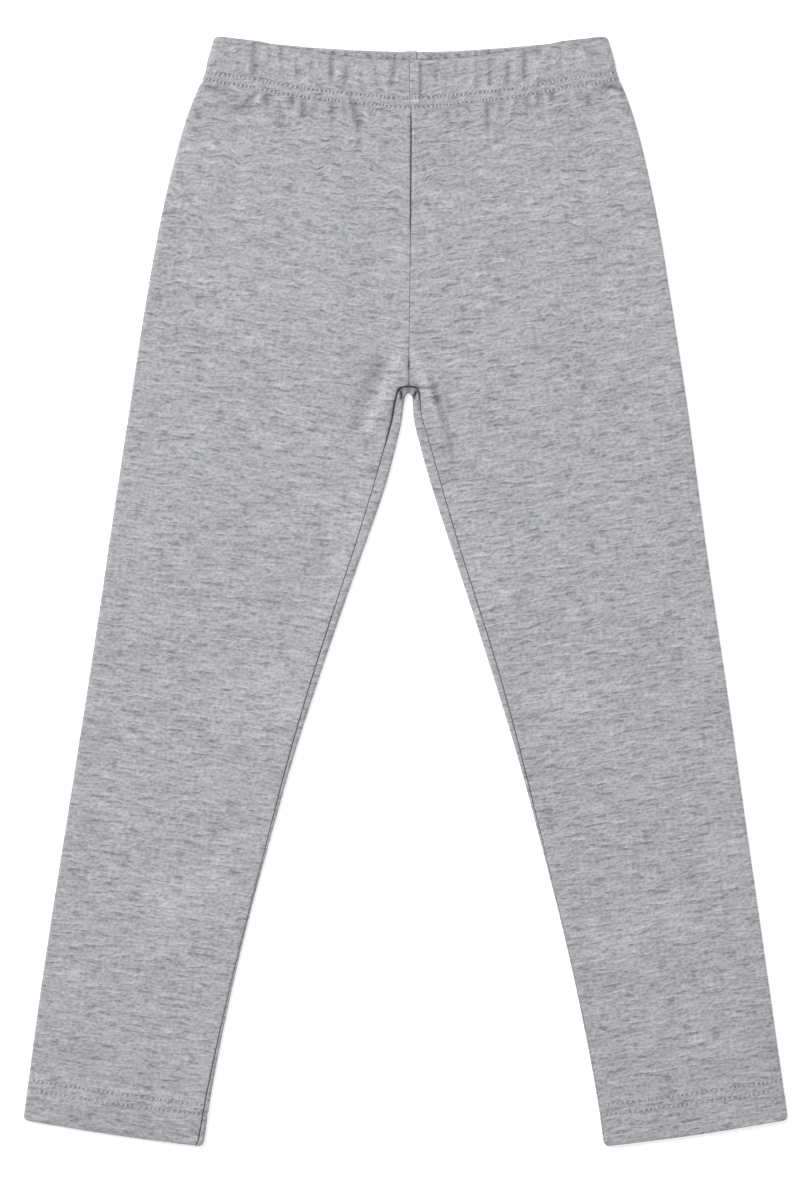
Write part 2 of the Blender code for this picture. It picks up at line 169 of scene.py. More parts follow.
SIDE_EDGE = rows_of(  # from the centre seams out to the side
    Edge,
    (0.0000, 0.1145),
    (0.0054, 0.1157),
    (0.0146, 0.1181),
    (0.0193, 0.1188),
    (0.0239, 0.1203),
    (0.0264, 0.1211),
    (0.0286, 0.1224),
    (0.0357, 0.1254),
    (0.0450, 0.1289),
    (0.0658, 0.1349),
    (0.1006, 0.1427),
    (0.1470, 0.1511),
    (0.2050, 0.1601),
    (0.3036, 0.1740),
    (0.4974, 0.2030),
    (0.6279, 0.2213),
)
INNER_EDGE = rows_of(  # and to the inner edge of a leg
    Edge,
    (FORK_ARC_DROP, 0.0023),
    (0.2224, 0.0035),
    (0.2340, 0.0061),
    (0.2572, 0.0123),
    (0.2804, 0.0198),
    (0.3268, 0.0357),
    (0.3732, 0.0510),
    (0.4196, 0.0655),
    (0.4660, 0.0783),
    (0.5124, 0.0905),
    (0.5588, 0.1012),
    (0.6076, 0.1108),
    (HEM_DROP, 0.1162),
)
LINE_RISE = rows_of(  # how much higher a line meets the side than the inner edge
    Rise,
    (FORK_ARC_DROP, 0.0148),
    (0.2340, 0.0168),
    (0.3268, 0.0180),
    (0.4200, 0.0176),
    (HEM_DROP, 0.0150),
)
INSEAM = rows_of(  # how far the inseam is set back from the inner edge
    Sides,
    (FORK_FOLD_DROP, 0.0042, 0.0042),
    (FORK_ARC_DROP, 0.0051, 0.0044),
    (0.2223, 0.0057, 0.0050),
    (0.2339, 0.0062, 0.0057),
    (0.2572, 0.0068, 0.0058),
    (0.3036, 0.0052, 0.0046),
    (0.3686, 0.0040, 0.0040),
    (0.4312, 0.0023, 0.0020),
    (0.5066, 0.0007, 0.0006),
    (0.5936, 0.0020, 0.0006),
    (HEM_DROP, 0.0034, 0.0006),
)
LEG_LOFT = rows_of(  # height of the laid cloth below the casing
    Loft,
    (0.0, CASING_LOFT),
    (0.006, 0.0064),
    (0.014, 0.0056),
    (0.030, 0.0045),
    (0.055, 0.0037),
    (0.090, 0.0036),
)
SEAM_ROLL = rows_of(  # share of the full radius down the centre front, then down the inseam
    Sides,
    (0.0000, 0.25, 0.25),
    (0.0400, 0.25, 0.25),
    (0.0430, 0.60, 0.60),
    (0.0480, 1.35, 1.35),
    (0.0900, 1.45, 1.45),
    (0.1080, 1.25, 1.25),
    (0.1170, 0.62, 0.62),
    (0.1350, 0.58, 0.58),
    (0.1750, 0.55, 0.55),
    (0.1860, 0.80, 0.80),
    (0.1900, 1.40, 1.40),
    (0.1935, 0.80, 0.80),
    (0.2000, 0.80, 0.80),
    (0.2035, 1.90, 1.80),
    (0.2085, 2.00, 1.70),
    (0.2120, 2.00, 0.90),
    (0.2220, 1.90, 0.60),
    (0.2310, 1.70, 0.60),
    (0.2420, 0.90, 0.70),
    (0.3500, 1.00, 0.90),
    (0.5000, 1.10, 0.80),
    (HEM_DROP, 1.20, 0.60),
)
SIDE_SHIFT = rows_of(  # how much further out each side lies than the mean of the two
    Sides,
    (0.0000, -0.0012, 0.0004),
    (0.0065, -0.0009, 0.0008),
    (0.0240, -0.0005, 0.0011),
    (0.0430, -0.0002, 0.0008),
    (0.0700, 0.0002, 0.0006),
    (0.0950, 0.0006, 0.0004),
    (0.1240, 0.0008, 0.0002),
    (0.1530, 0.0009, -0.0002),
    (0.2000, 0.0009, -0.0001),
    (0.2900, 0.0009, 0.0003),
    (0.3300, 0.0004, 0.0006),
    (0.3850, -0.0001, 0.0010),
    (0.4700, -0.0002, 0.0009),
    (0.5600, 0.0001, 0.0013),
    (0.6200, -0.0004, 0.0017),
)
SEAM_DRIFT = rows_of(  # how far the centre seams wander to the wearer's left
    Drift,
    (0.0000, 0.0002, 0.0041),
    (0.0385, 0.0002, 0.0032),
    (0.0425, 0.0009, 0.0031),
    (0.0900, 0.0008, 0.0016),
    (0.1400, 0.0003, 0.0005),
    (0.1900, -0.0003, -0.0003),
    (0.2060, -0.0004, -0.0004),
    (0.2160, -0.0009, -0.0009),
    (0.2350, -0.0006, -0.0006),
    (0.2600, 0.0000, 0.0000),
)
DRIFT_SPREAD = 0.060

# The waist's puckers: across from the centre front, and down from the casing's base
RIGHT_PUCKERS = rows_of(
    Crease,
    (0.0080, -0.0250, 0.0110, -0.0105, 0.0015, -0.0009),
    (0.0195, -0.0222, 0.0190, -0.0105, 0.0014, -0.0008),
    (0.0268, -0.0200, 0.0262, -0.0060, 0.0013, -0.0004),
    (0.0353, -0.0228, 0.0380, -0.0080, 0.0015, -0.0011),
    (0.0451, -0.0268, 0.0451, -0.0120, 0.0014, -0.0012),
    (0.0564, -0.0240, 0.0564, -0.0160, 0.0014, -0.0008),
    (0.0655, -0.0208, 0.0651, -0.0095, 0.0015, -0.0008),
    (0.0742, -0.0262, 0.0744, -0.0185, 0.0015, -0.0010),
    (0.0811, -0.0250, 0.0811, -0.0080, 0.0013, -0.0005),
    (0.0900, -0.0250, 0.0902, -0.0080, 0.0020, -0.0012),
    (0.0990, -0.0252, 0.0990, -0.0175, 0.0014, -0.0007),
    (0.1065, -0.0210, 0.1070, -0.0090, 0.0016, -0.0004),
    (0.0000, -0.0011, 0.0026, -0.0011, 0.0008, -0.0008),
    (0.0150, -0.0240, 0.0148, -0.0090, 0.0018, 0.0003),
    (0.0256, -0.0205, 0.0256, -0.0120, 0.0016, 0.0006),
    (0.0415, -0.0235, 0.0412, -0.0090, 0.0020, 0.0003),
    (0.0610, -0.0220, 0.0608, -0.0090, 0.0022, 0.0003),
    (0.0932, -0.0135, 0.0937, -0.0080, 0.0012, 0.0006),
    (0.0150, 0.0004, 0.0152, 0.0100, 0.0017, -0.0006),
    (0.0226, 0.0000, 0.0230, 0.0070, 0.0016, -0.0005),
    (0.0330, -0.0004, 0.0292, 0.0135, 0.0025, -0.0014),
    (0.0290, 0.0130, 0.0282, 0.0240, 0.0016, -0.0004),
    (0.0380, 0.0000, 0.0374, 0.0090, 0.0014, -0.0004),
    (0.0447, 0.0004, 0.0447, 0.0100, 0.0018, -0.0012),
    (0.0447, 0.0090, 0.0449, 0.0160, 0.0012, -0.0005),
    (0.0542, 0.0000, 0.0546, 0.0060, 0.0015, -0.0005),
    (0.0614, 0.0000, 0.0612, 0.0110, 0.0018, -0.0013),
    (0.0683, 0.0000, 0.0679, 0.0060, 0.0018, -0.0010),
    (0.0746, 0.0060, 0.0738, 0.0140, 0.0018, -0.0007),
    (0.0838, 0.0012, 0.0826, 0.0072, 0.0018, -0.0012),
    (0.0250, 0.0030, 0.0248, 0.0100, 0.0020, 0.0007),
    (0.0405, 0.0010, 0.0410, 0.0140, 0.0020, 0.0004),
    (0.0650, 0.0040, 0.0652, 0.0120, 0.0020, 0.0006),
    (0.0860, 0.0020, 0.0880, 0.0070, 0.0016, 0.0007),
)
LEFT_PUCKERS = rows_of(
    Crease,
    (0.0067, -0.0262, 0.0067, -0.0078, 0.0009, -0.0005),
    (0.0157, -0.0218, 0.0157, -0.0140, 0.0017, -0.0010),
    (0.0215, -0.0200, 0.0220, -0.0080, 0.0014, -0.0004),
    (0.0273, -0.0236, 0.0277, -0.0160, 0.0016, -0.0009),
    (0.0335, -0.0230, 0.0330, -0.0120, 0.0014, -0.0004),
    (0.0398, -0.0222, 0.0398, -0.0080, 0.0013, -0.0005),
    (0.0473, -0.0222, 0.0473, -0.0085, 0.0012, -0.0010),
    (0.0577, -0.0200, 0.0574, -0.0075, 0.0014, -0.0009),
    (0.0672, -0.0262, 0.0672, -0.0095, 0.0013, -0.0013),
    (0.0755, -0.0264, 0.0757, -0.0205, 0.0015, -0.0010),
    (0.0825, -0.0225, 0.0815, -0.0100, 0.0016, -0.0004),
    (0.0892, -0.0232, 0.0888, -0.0110, 0.0012, -0.0005),
    (0.0965, -0.0240, 0.0960, -0.0120, 0.0015, -0.0004),
    (0.1070, -0.0220, 0.1080, -0.0100, 0.0018, -0.0004),
    (0.0180, -0.0130, 0.0184, -0.0080, 0.0020, 0.0003),
    (0.0365, -0.0240, 0.0365, -0.0080, 0.0016, 0.0004),
    (0.0620, -0.0250, 0.0620, -0.0080, 0.0020, 0.0004),
    (0.0746, -0.0175, 0.0738, -0.0060, 0.0011, 0.0009),
    (0.0640, -0.0055, 0.0740, -0.0062, 0.0010, 0.0008),
    (0.0012, -0.0080, 0.0056, -0.0080, 0.0010, -0.0008),
    (0.0012, -0.0050, 0.0054, -0.0050, 0.0020, 0.0006),
    (0.0000, -0.0011, 0.0066, -0.0011, 0.0008, -0.0008),
    (0.0092, 0.0010, 0.0088, 0.0070, 0.0014, -0.0007),
    (0.0150, 0.0004, 0.0146, 0.0070, 0.0014, -0.0004),
    (0.0228, 0.0000, 0.0222, 0.0100, 0.0016, -0.0006),
    (0.0284, 0.0010, 0.0280, 0.0090, 0.0015, -0.0008),
    (0.0350, 0.0000, 0.0345, 0.0060, 0.0015, -0.0006),
    (0.0459, -0.0004, 0.0459, 0.0155, 0.0013, -0.0013),
    (0.0545, 0.0000, 0.0535, 0.0090, 0.0016, -0.0005),
    (0.0690, 0.0000, 0.0696, 0.0064, 0.0017, -0.0012),
    (0.0757, 0.0000, 0.0768, 0.0068, 0.0017, -0.0012),
    (0.0836, -0.0006, 0.0842, 0.0058, 0.0016, -0.0012),
    (0.0905, 0.0000, 0.0925, 0.0060, 0.0016, -0.0006),
    (0.1110, 0.0012, 0.1230, 0.0030, 0.0014, -0.0010),
    (0.0410, 0.0010, 0.0405, 0.0140, 0.0020, 0.0004),
    (0.0606, 0.0000, 0.0576, 0.0130, 0.0013, 0.0011),
    (0.0724, 0.0006, 0.0732, 0.0066, 0.0012, 0.0009),
    (0.0796, 0.0000, 0.0802, 0.0060, 0.0014, 0.0007),
)

# Larger creases, in plan
RIGHT_CREASES = rows_of(
    Crease,
    (0.0030, 0.1785, 0.0110, 0.1960, 0.0027, 0.0009),
    (0.0110, 0.1945, 0.0150, 0.2100, 0.0027, 0.0011),
    (0.0148, 0.2085, 0.0235, 0.2310, 0.0028, 0.0011),
    (0.0150, 0.1850, 0.0190, 0.1960, 0.0050, -0.0008),
    (0.0190, 0.1930, 0.0262, 0.2110, 0.0050, -0.0008),
    (0.0262, 0.2120, 0.0330, 0.2260, 0.0040, -0.0005),
    (0.0190, 0.2345, 0.0280, 0.2372, 0.0022, -0.0008),
    (0.0215, 0.2500, 0.0280, 0.2510, 0.0018, -0.0005),
    (0.0045, 0.2044, 0.0038, 0.2108, 0.0009, -0.0010),
    (0.0230, 0.2550, 0.0480, 0.3400, 0.0090, 0.0004),
    (0.0700, 0.3700, 0.1150, 0.4000, 0.0120, 0.0004),
    (0.1000, 0.4900, 0.1500, 0.5050, 0.0130, 0.0004),
)
LEFT_CREASES = rows_of(
    Crease,
    (0.0010, 0.1788, 0.0078, 0.1960, 0.0024, 0.0007),
    (0.0078, 0.1945, 0.0128, 0.2090, 0.0024, 0.0010),
    (0.0128, 0.2075, 0.0180, 0.2240, 0.0022, 0.0010),
    (0.0130, 0.1985, 0.0165, 0.2105, 0.0020, -0.0014),
    (0.0165, 0.2095, 0.0210, 0.2225, 0.0018, -0.0013),
    (0.0205, 0.2215, 0.0248, 0.2380, 0.0020, -0.0009),
    (0.0248, 0.2370, 0.0266, 0.2470, 0.0018, -0.0007),
    (0.0262, 0.2510, 0.0300, 0.2660, 0.0024, -0.0005),
    (0.0046, 0.2050, 0.0030, 0.2090, 0.0009, -0.0010),
    (0.0260, 0.2600, 0.0500, 0.3300, 0.0090, 0.0004),
    (0.0850, 0.3900, 0.1250, 0.3750, 0.0120, 0.0004),
    (0.1100, 0.5250, 0.1600, 0.5100, 0.0130, 0.0004),
)

# Shade painted in the pockets by the fork and the waist's corners, where the height is its amount;
# a negative amount is painted light
RIGHT_SHADES = rows_of(
    Crease,
    (0.0047, 0.2050, 0.0037, 0.2110, 0.0010, 2.6),
    (0.0048, 0.2030, 0.0074, 0.2062, 0.0010, 1.4),
    (0.0170, 0.1880, 0.0250, 0.2080, 0.0040, 0.25),
    (0.0084, 0.2090, 0.0132, 0.2305, 0.0012, 0.9),
    (0.0000, 0.1865, 0.0002, 0.1925, 0.0011, 1.3),
    (0.0000, 0.1890, 0.0000, 0.2050, 0.0008, 1.3),
    (0.1265, 0.0284, 0.1110, 0.0302, 0.0012, 1.3),
    (0.1170, 0.0304, 0.1040, 0.0322, 0.0024, 1.3),
    (0.0862, 0.0374, 0.0792, 0.0342, 0.0020, 1.2),
    (0.0684, 0.0330, 0.0680, 0.0392, 0.0018, 1.0),
    (0.1190, 0.0318, 0.1130, 0.0326, 0.0014, -0.8),
    (0.0875, 0.0318, 0.0960, 0.0392, 0.0011, 1.3),
    (0.0920, 0.0376, 0.1030, 0.0424, 0.0027, 1.1),
    (0.0872, 0.0358, 0.0880, 0.0386, 0.0018, -1.0),
)
LEFT_SHADES = rows_of(
    Crease,
    (0.0046, 0.2053, 0.0026, 0.2096, 0.0010, 2.8),
    (0.0026, 0.2008, 0.0058, 0.2034, 0.0013, 1.9),
    (0.0057, 0.2100, 0.0068, 0.2180, 0.0012, 0.9),
    (0.0150, 0.2000, 0.0240, 0.2180, 0.0045, 0.30),
    (0.0140, 0.2020, 0.0170, 0.2115, 0.0020, 0.4),
    (0.0000, 0.1865, 0.0002, 0.1925, 0.0011, 1.3),
    (0.0000, 0.1890, 0.0000, 0.2050, 0.0008, 1.3),
    (0.1140, 0.0292, 0.1260, 0.0312, 0.0015, 1.7),
    (0.1090, 0.0306, 0.1180, 0.0322, 0.0011, -0.6),
    (0.1170, 0.0322, 0.1240, 0.0366, 0.0013, -0.6),
    (0.1046, 0.0312, 0.1134, 0.0308, 0.0010, 1.4),
    (0.1036, 0.0335, 0.1032, 0.0400, 0.0011, 1.5),
    (0.1065, 0.0415, 0.1090, 0.0430, 0.0026, -0.9),
    (0.0061, 0.0160, 0.0061, 0.0375, 0.0008, 0.9),
    (0.0060, 0.0165, 0.0060, 0.0205, 0.0008, 0.6),
    (0.0060, 0.0335, 0.0062, 0.0385, 0.0008, 0.7),
    (0.0033, 0.0372, 0.0037, 0.0382, 0.0022, -0.9),
)

# Short gathers inside the back of the casing
RIGHT_MARKS = rows_of(
    Crease,
    (0.0075, -0.0250, 0.0075, -0.0225, 0.0007, -0.0005),
    (0.0122, -0.0252, 0.0124, -0.0222, 0.0006, -0.0008),
    (0.0163, -0.0250, 0.0165, -0.0222, 0.0007, -0.0007),
    (0.0191, -0.0252, 0.0191, -0.0224, 0.0006, -0.0007),
    (0.0271, -0.0254, 0.0271, -0.0226, 0.0007, -0.0007),
    (0.0379, -0.0256, 0.0382, -0.0228, 0.0009, -0.0010),
    (0.0453, -0.0258, 0.0455, -0.0236, 0.0009, -0.0010),
    (0.0590, -0.0260, 0.0592, -0.0244, 0.0008, -0.0006),
)
LEFT_MARKS = rows_of(
    Crease,
    (0.0058, -0.0250, 0.0090, -0.0218, 0.0008, -0.0010),
    (0.0174, -0.0252, 0.0174, -0.0220, 0.0007, -0.0011),
    (0.0258, -0.0252, 0.0263, -0.0226, 0.0008, -0.0010),
    (0.0316, -0.0254, 0.0316, -0.0234, 0.0006, -0.0005),
    (0.0368, -0.0254, 0.0368, -0.0232, 0.0008, -0.0006),
    (0.0447, -0.0256, 0.0449, -0.0236, 0.0008, -0.0007),
    (0.0559, -0.0258, 0.0561, -0.0242, 0.0009, -0.0006),
)
LEGS = (  # each with its column in the tables that hold both sides
    Leg("right", -1, 1, 0.0033, RIGHT_PUCKERS, RIGHT_CREASES, RIGHT_MARKS, RIGHT_SHADES, 11.0),
    Leg("left", 1, 2, -0.0033, LEFT_PUCKERS, LEFT_CREASES, LEFT_MARKS, LEFT_SHADES, 47.0),
)

# Shade painted into the cloth's colour where it gathers in hollows, and light painted where the
# cloth rises
GATHER_DEPTH = 0.0014  # depth of a gather of full shade
CREASE_DEPTH = 0.0011  # the same of a larger crease
SEAM_DEPTH = 0.0006  # and between the rolled edges of a seam
# the painted shade of gathers and creases stays in this range; below zero it is painted light on
# their ridges
HOLLOW_RANGE = (-0.8, 1.4)
INSIDE_SHADE = 0.15  # painted shade inside the casing and the hems
HEM_SHADE = 0.16  # painted shade in the hem's middle
TOP_EDGE_SHADE = 1.0  # painted shade along the front's top edge
TOP_EDGE_REACH = 0.0010
FORK_SHADE = 1.0  # painted shade where the four seams meet
FORK_SHADE_AT = 0.2052
FORK_SHADE_REACH = (0.0060, 0.0045)

# Unevenness of the hand of the cloth
RELIEF = 0.00022  # height of the soft unevenness all over
RELIEF_ACROSS = 0.017
RELIEF_DOWN = 0.024
PUCKER_DEPTH = 1.15  # how deep the gathers are, as a share of their rows' heights
RIPPLE = 0.00030  # the fine puckers between those listed
RIPPLE_ACROSS = 0.0036
RIPPLE_DOWN = 0.0110
RIPPLE_RUN = 0.026  # below the casing, over which they die out
RIPPLE_SEED = 5

# The pattern of the cloth, in metres across and down its own length
COURSE_SLOPE = 0.135  # how much a course of knitting rises per metre out
PATTERN_APART = 1.0  # keeps one leg's marl from matching the other's
MARL_DRIFT = 1.7  # how much further down than across its seed moves a layer of marl
DASH_DRIFT = 1.3
DASH_DETAIL = 0.6
MARL = rows_of(
    Marl,
    (0.0500, 0.0230, 1.0, 0.20, 0.00, 5.3),
    (0.0270, 0.0049, 1.0, 0.38, 0.10, 3.1),
    (0.0110, 0.0025, 1.0, 0.48, 0.35, 7.4),
    (0.0023, 0.0016, 1.0, 0.88, 0.42, 12.9),
)
DASHES = rows_of(
    Dash,
    (0.0078, 0.0020, 0.57, 0.75, -0.30, -0.12, 41.7),
    (0.0120, 0.0018, 0.53, 0.73, 0.22, 0.13, 57.2),
)
WAVES = rows_of(  # how far the courses wander high up and, past start to end, low down
    Wave,
    (0.0190, 0.0120, 1.0, 0.0042, 0.0022, 0.130, 0.300),
    (0.0084, 0.0300, 0.0, 0.0035, 0.0000, 0.075, 0.140),
)
GATHERED_CALM = 0.55  # how much less they wander where the cloth is gathered
TINT_SIZE = (0.012, 0.004)  # across and down
TINT_RANGE = (0.35, 0.65)
WARM_TINT = (1.012, 0.996, 0.998, 1)
COOL_TINT = (0.990, 1.003, 1.006, 1)
HOLLOW_SHADE = 0.24  # how much darker the painted shade makes the cloth at a full shade
CASING_FULLNESS = 1.25  # how much cloth is gathered into the casing
CASING_FADED = 0.10  # and how much weaker its marl is

# Twin needle rows
CASING_ROWS = (0.0007, 0.0059)  # above the casing's base
LOW_ROW_DRAWN = 0.0010  # how far the lower row has risen at the side
HIGH_ROW_DRAWN = 0.0008  # and the upper row sunk
ROWS_DRAWN_OVER = 0.0040
HEM_ROWS = (0.0234, 0.0178)  # above the hem edge
ROW_PRESS = 0.00035  # how far a row of stitching pulls the cloth in
ROW_SPREAD = 0.20  # of the distance between the rows
PLAIN_CLOTH = -3.0  # the sewing coordinate far from any row

# Stitches and thread
STITCH_RINGS = 7
STITCH_SIDES = 6
STITCH_TAPER = 0.88  # what is off the square of its width at the ends
STITCH_LIFT = 0.06  # of the thread's thickness, in the stitch's middle
STITCH_DIVE = 0.32  # and down from there at its ends
STITCH_FLATNESS = 0.7
STITCH_LEAN = math.radians(4)
STITCH_WANDER = 0.0016  # how far stitches stray along the row, and over what run
STITCH_WANDER_OVER = 0.0090
ROW_APART = 2.3  # keeps one row's unevenness from matching the next
HEM_STITCHES = 0.89  # pitch of the casing's stitches as a share of the hems'
STITCH_STEP = 0.0004  # between the lines that give a stitch its lie
WANDER_SEED = 8.5
STITCH_SEED = 0.37
VARY_SEEDS = (1.5, 2.5, 3.5)  # for a stitch's width, height and lean
STITCH_VARIES = np.array((0.7, 0.4, 0.4))  # in width, height and thickness
LEAN_VARIES = 0.6
THREAD_TWIST = 0.8  # plies in a length of the thread's own thickness
PLY_SHADE = 0.25
THREAD_SEEDS = (0.37, 0.11)
THREAD_RANGE = (0.3, 0.7)
THREAD_SHADE = 0.35  # how much darker one stitch is than another

# The groove along each row, and the needle holes between its stitches, both with painted shade
GROOVE_SHADE = 0.18  # painted shade along a row's groove, as a share of a full shade
GROOVE_SHIFT = 0.0003
GROOVE_REACH = 0.0022
GROOVE_RUN = 0.0042  # over which its depth varies
GROOVE_RANGE = (0.20, 0.75)
GROOVE_DEPTHS = (0.5, 1.2)
ROW_SHIFT = 3.7  # keeps one row's noise from matching the next
PIT_SHADE = 0.47  # how much of the holes' colour, a painted shade, shows
HEM_PITS = 0.75  # how deep the hems' needle holes are, as a share of the casing's
PIT_LENGTH = 0.00054
PIT_WIDTH = 0.00100
PIT_EDGE = (0.35, 1.15)  # where a hole's edge starts and ends, in its own half sizes
PIT_RANGE = (0.30, 0.72)
PIT_STRAY = 0.0016  # how far the holes stray off the row, and over what run
PIT_STRAY_RUN = 0.0052
PIT_SEED = 9.0
PIT_RELIEF = -0.0007  # how deep the holes are pressed

# Columns and lines of the mesh
ROLL_COLUMNS = 5
TURNED_IN = Spread(128, 7, 190, 0)
DENSE = Spread(128, 7, 64, 0)
PLAIN = Spread(84, 7, 38, 0)
WRAPPED = Spread(84, 7, 38, 13)
INNER_CASING_LINES = 13
INNER_GRADING = 1.8
TURN_LINES = 8
CASING_LINES = 36
PUCKER_LINES = 24
PUCKER_RUN = 0.0260
HIP_LINES = 46
FORK_LINES = 12
LEG_LINES = 92
LEG_GRADING = 1.15
HEM_LINES = 26
HEM_ZONE = 0.0290
INNER_HEM_LINES = 5
ROLL_NUMBERS = 0.01  # share of a part's column numbers that its rolled edge takes
MID_FOLD = 1.5  # the column number in the middle of the side fold
WRAP = 3  # and the one where the part past the inner fold starts

# The stage
CAMERA_AT = (-0.0032, -0.0049)
CAMERA_VIEW = 0.696  # what the camera sees along its longer side
CAMERA_LENS = 85.0
SENSOR = 36.0
CLOTH_TOP = 0.0036  # the height at which it sees that much
FLOOR_BELOW = 0.0002
FLOOR_SIZE = 44.0
FLOOR_GLOW = 0.40
ROOM_LIGHT = 0.56
WINDOW_AT = (-1.55, 1.70, 2.90)
WINDOW_SIZE = 1.2
WINDOW_POWER = 92.0


# Sums


def mix(low, high, share):
    return low + (high - low) * share


def ease(share):
    """0 to 1 with flat ends, for numbers and arrays."""
    share = np.clip(share, 0.0, 1.0)
    return share * share * (3 - 2 * share)


def along(table, at, column=1):
    """A column of a table, at a value of its first column, on a smooth curve."""
    keys = [row[0] for row in table]
    values = [row[column] for row in table]
    at = min(max(at, keys[0]), keys[-1])
    last = len(keys) - 2
    i = min(sum(key <= at for key in keys[1:]), last)

    def slope(k):
        low, high = max(k - 1, 0), min(k + 1, last + 1)
        return (values[high] - values[low]) / (keys[high] - keys[low])

    span = keys[i + 1] - keys[i]
    t = (at - keys[i]) / span
    start, end = slope(i) * span, slope(i + 1) * span
    return (
        (2 * t**3 - 3 * t**2 + 1) * values[i]
        + (t**3 - 2 * t**2 + t) * start
        + (3 * t**2 - 2 * t**3) * values[i + 1]
        + (t**3 - t**2) * end
    )


def point(x, drop):
    return np.array((x, drop))


def unit(start, end):
    return (end - start) / math.dist(start, end)


def away(places, centre):
    return np.hypot(places[:, 0] - centre[0], places[:, 1] - centre[1])


def crease_height(creases, across, down):
    """How far listed creases raise the cloth, at arrays of places."""
    height = np.zeros(len(across))
    for crease in creases:
        run = (crease.end_across - crease.across, crease.end_down - crease.down)
        length = math.hypot(*run)
        offset = (across - crease.across, down - crease.down)
        ahead = (offset[0] * run[0] + offset[1] * run[1]) / length
        aside = (offset[0] * run[1] - offset[1] * run[0]) / length / crease.width
        end = min(CREASE_END, length / 2)
        fade = ease(ahead / end + 0.5) * ease((length - ahead) / end + 0.5)
        height += crease.height * fade * np.exp(-(aside**2))
    return height


def unevenness(across, down, seed):
    """Soft noise from about -1 to 1, at arrays of places."""
    return np.array([noise.noise(Vector((a, d, seed))) for a, d in zip(across, down)])


# Lines across the cloth


def casing_drop(share, height, front):
    """Drop of a line that runs at a height above the casing's base, at a share of its half."""
    dip = BACK_DIP * (1 - share**BACK_DIP_CURVE)
    if front:
        wide, narrow = FRONT_BASE_DIPS
        base = wide * (1 - share**2) + narrow * bowed(share / FRONT_BASE_SPREAD)
        base = base + CENTRE_BASE_DIP * np.exp(-((share / CENTRE_BASE_SPREAD) ** 2))
        top = dip + FRONT_TOP_DIP * bowed(share / FRONT_TOP_SPREAD)
        dip = mix(base, top, height / CASING_HEIGHT)
    return dip + CASING_HEIGHT - height - drawn_up(share, height)


def bowed(share):
    return np.maximum(0.0, 1 - share**2)


def drawn_up(share, height):
    """How much the casing's twin rows are drawn towards each other as they near the side."""
    low, high = CASING_ROWS
    near_low = height / low * math.exp(1 - height / low)
    near_high = math.exp(-(((height - high) / ROWS_DRAWN_OVER) ** 2)) * min(height / low, 1.0)
    return LOW_ROW_DRAWN * share**6 * near_low - HIGH_ROW_DRAWN * share * near_high


def corner(from_edge, radius):
    """How far an outer corner is rounded off, at a distance from the cloth's edge."""
    short = max(0.0, 1 - from_edge / radius)
    return radius * (1 - math.sqrt(1 - short**2)) * CORNER_CUT


def side_half(leg, drop):
    return along(SIDE_EDGE, drop) + along(SIDE_SHIFT, drop, leg.column)


def behind(leg):
    """The back of a leg is creased as the front of the other one is."""
    return LEGS[1 - LEGS.index(leg)]


def waist_line(leg, below, turn=math.pi, extra=0.0, sewing=None):
    """A line above the fork, at a distance below the casing's base."""
    height = max(-below, 0.0)
    front, back = casing_drop(0, height, True), casing_drop(0, height, False)
    if below < 0:
        share, side_drop, back_drop = 0.0, casing_drop(1, height, True), back
    else:
        share = below / (FORK_SEAM_DROP - front)
        side_drop = mix(CASING_HEIGHT, FORK_SIDE_DROPS[0], share)
        back_drop = mix(back, FORK_FOLD_DROP - LEG_LOFT[-1].height / 2, share)
    if sewing is None:
        low, high = CASING_ROWS
        sewing = max((-below - low) / (high - low), PLAIN_CLOTH)
    return Line(
        seam=point(0.0, front + max(below, 0.0)),
        side=point(side_half(leg, side_drop) - corner(side_drop, CORNER), side_drop),
        back=point(CENTRE, back_drop),
        loft=along(LEG_LOFT, below),
        sink=SINK * ease(below / SINK_RUN),
        half=CASING_HALF_WALL,
        turn=turn,
        inward=point(0, 1),
        extra=extra,
        sewing=sewing,
        below=below,
        sag=1 - ease(share),
    )


def forked_line(fold, side, out, inset, above=math.inf, turn=math.pi, extra=0.0):
    """A line that goes round the inner fold and ends at the inseam, above the hem edge."""
    hemmed = 1 - float(ease((above - HEM_TURNED_UP) / HEM_LOFT_RUN))
    loft = mix(LEG_LOFT[-1].height, HEM_LOFT, hemmed)
    high, low = HEM_ROWS
    return Line(
        seam=fold - out * inset,
        side=side,
        back=fold - out * loft / 2,
        loft=loft,
        sink=SINK * (1 - HEM_STIFFNESS * hemmed),
        half=HEM_HALF_WALL,
        turn=turn,
        inward=point(0, -1),
        extra=extra,
        sewing=max((high - above) / (high - low), PLAIN_CLOTH),
        fold=fold,
        out=out,
        inset=inset,
        bow=HEM_BOW * (1 - float(ease(above / HEM_BOW_RUN))),
    )


def fork_line(leg, share):
    """A line that fans round the fork, from the centre seams (0) to the inner edge (1)."""
    angle = share * math.pi / 2
    deep = FORK_ARC_DROP - FORK_FOLD_DROP
    fold = point(
        CENTRE + INNER_EDGE[0].half * math.sin(angle), FORK_ARC_DROP - deep * math.cos(angle)
    )
    side_drop = mix(*FORK_SIDE_DROPS, share)
    side = point(side_half(leg, side_drop), side_drop)
    level = math.atan2(side[0] - fold[0], fold[1] - side[1])
    out = point(-math.sin(level * share), math.cos(level * share))
    inset = mix(*[INSEAM[k][leg.column] for k in (0, 1)], share)
    inset += FORK_SQUARE * math.sin(2 * angle) ** 4
    return forked_line(fold, side, out, inset)


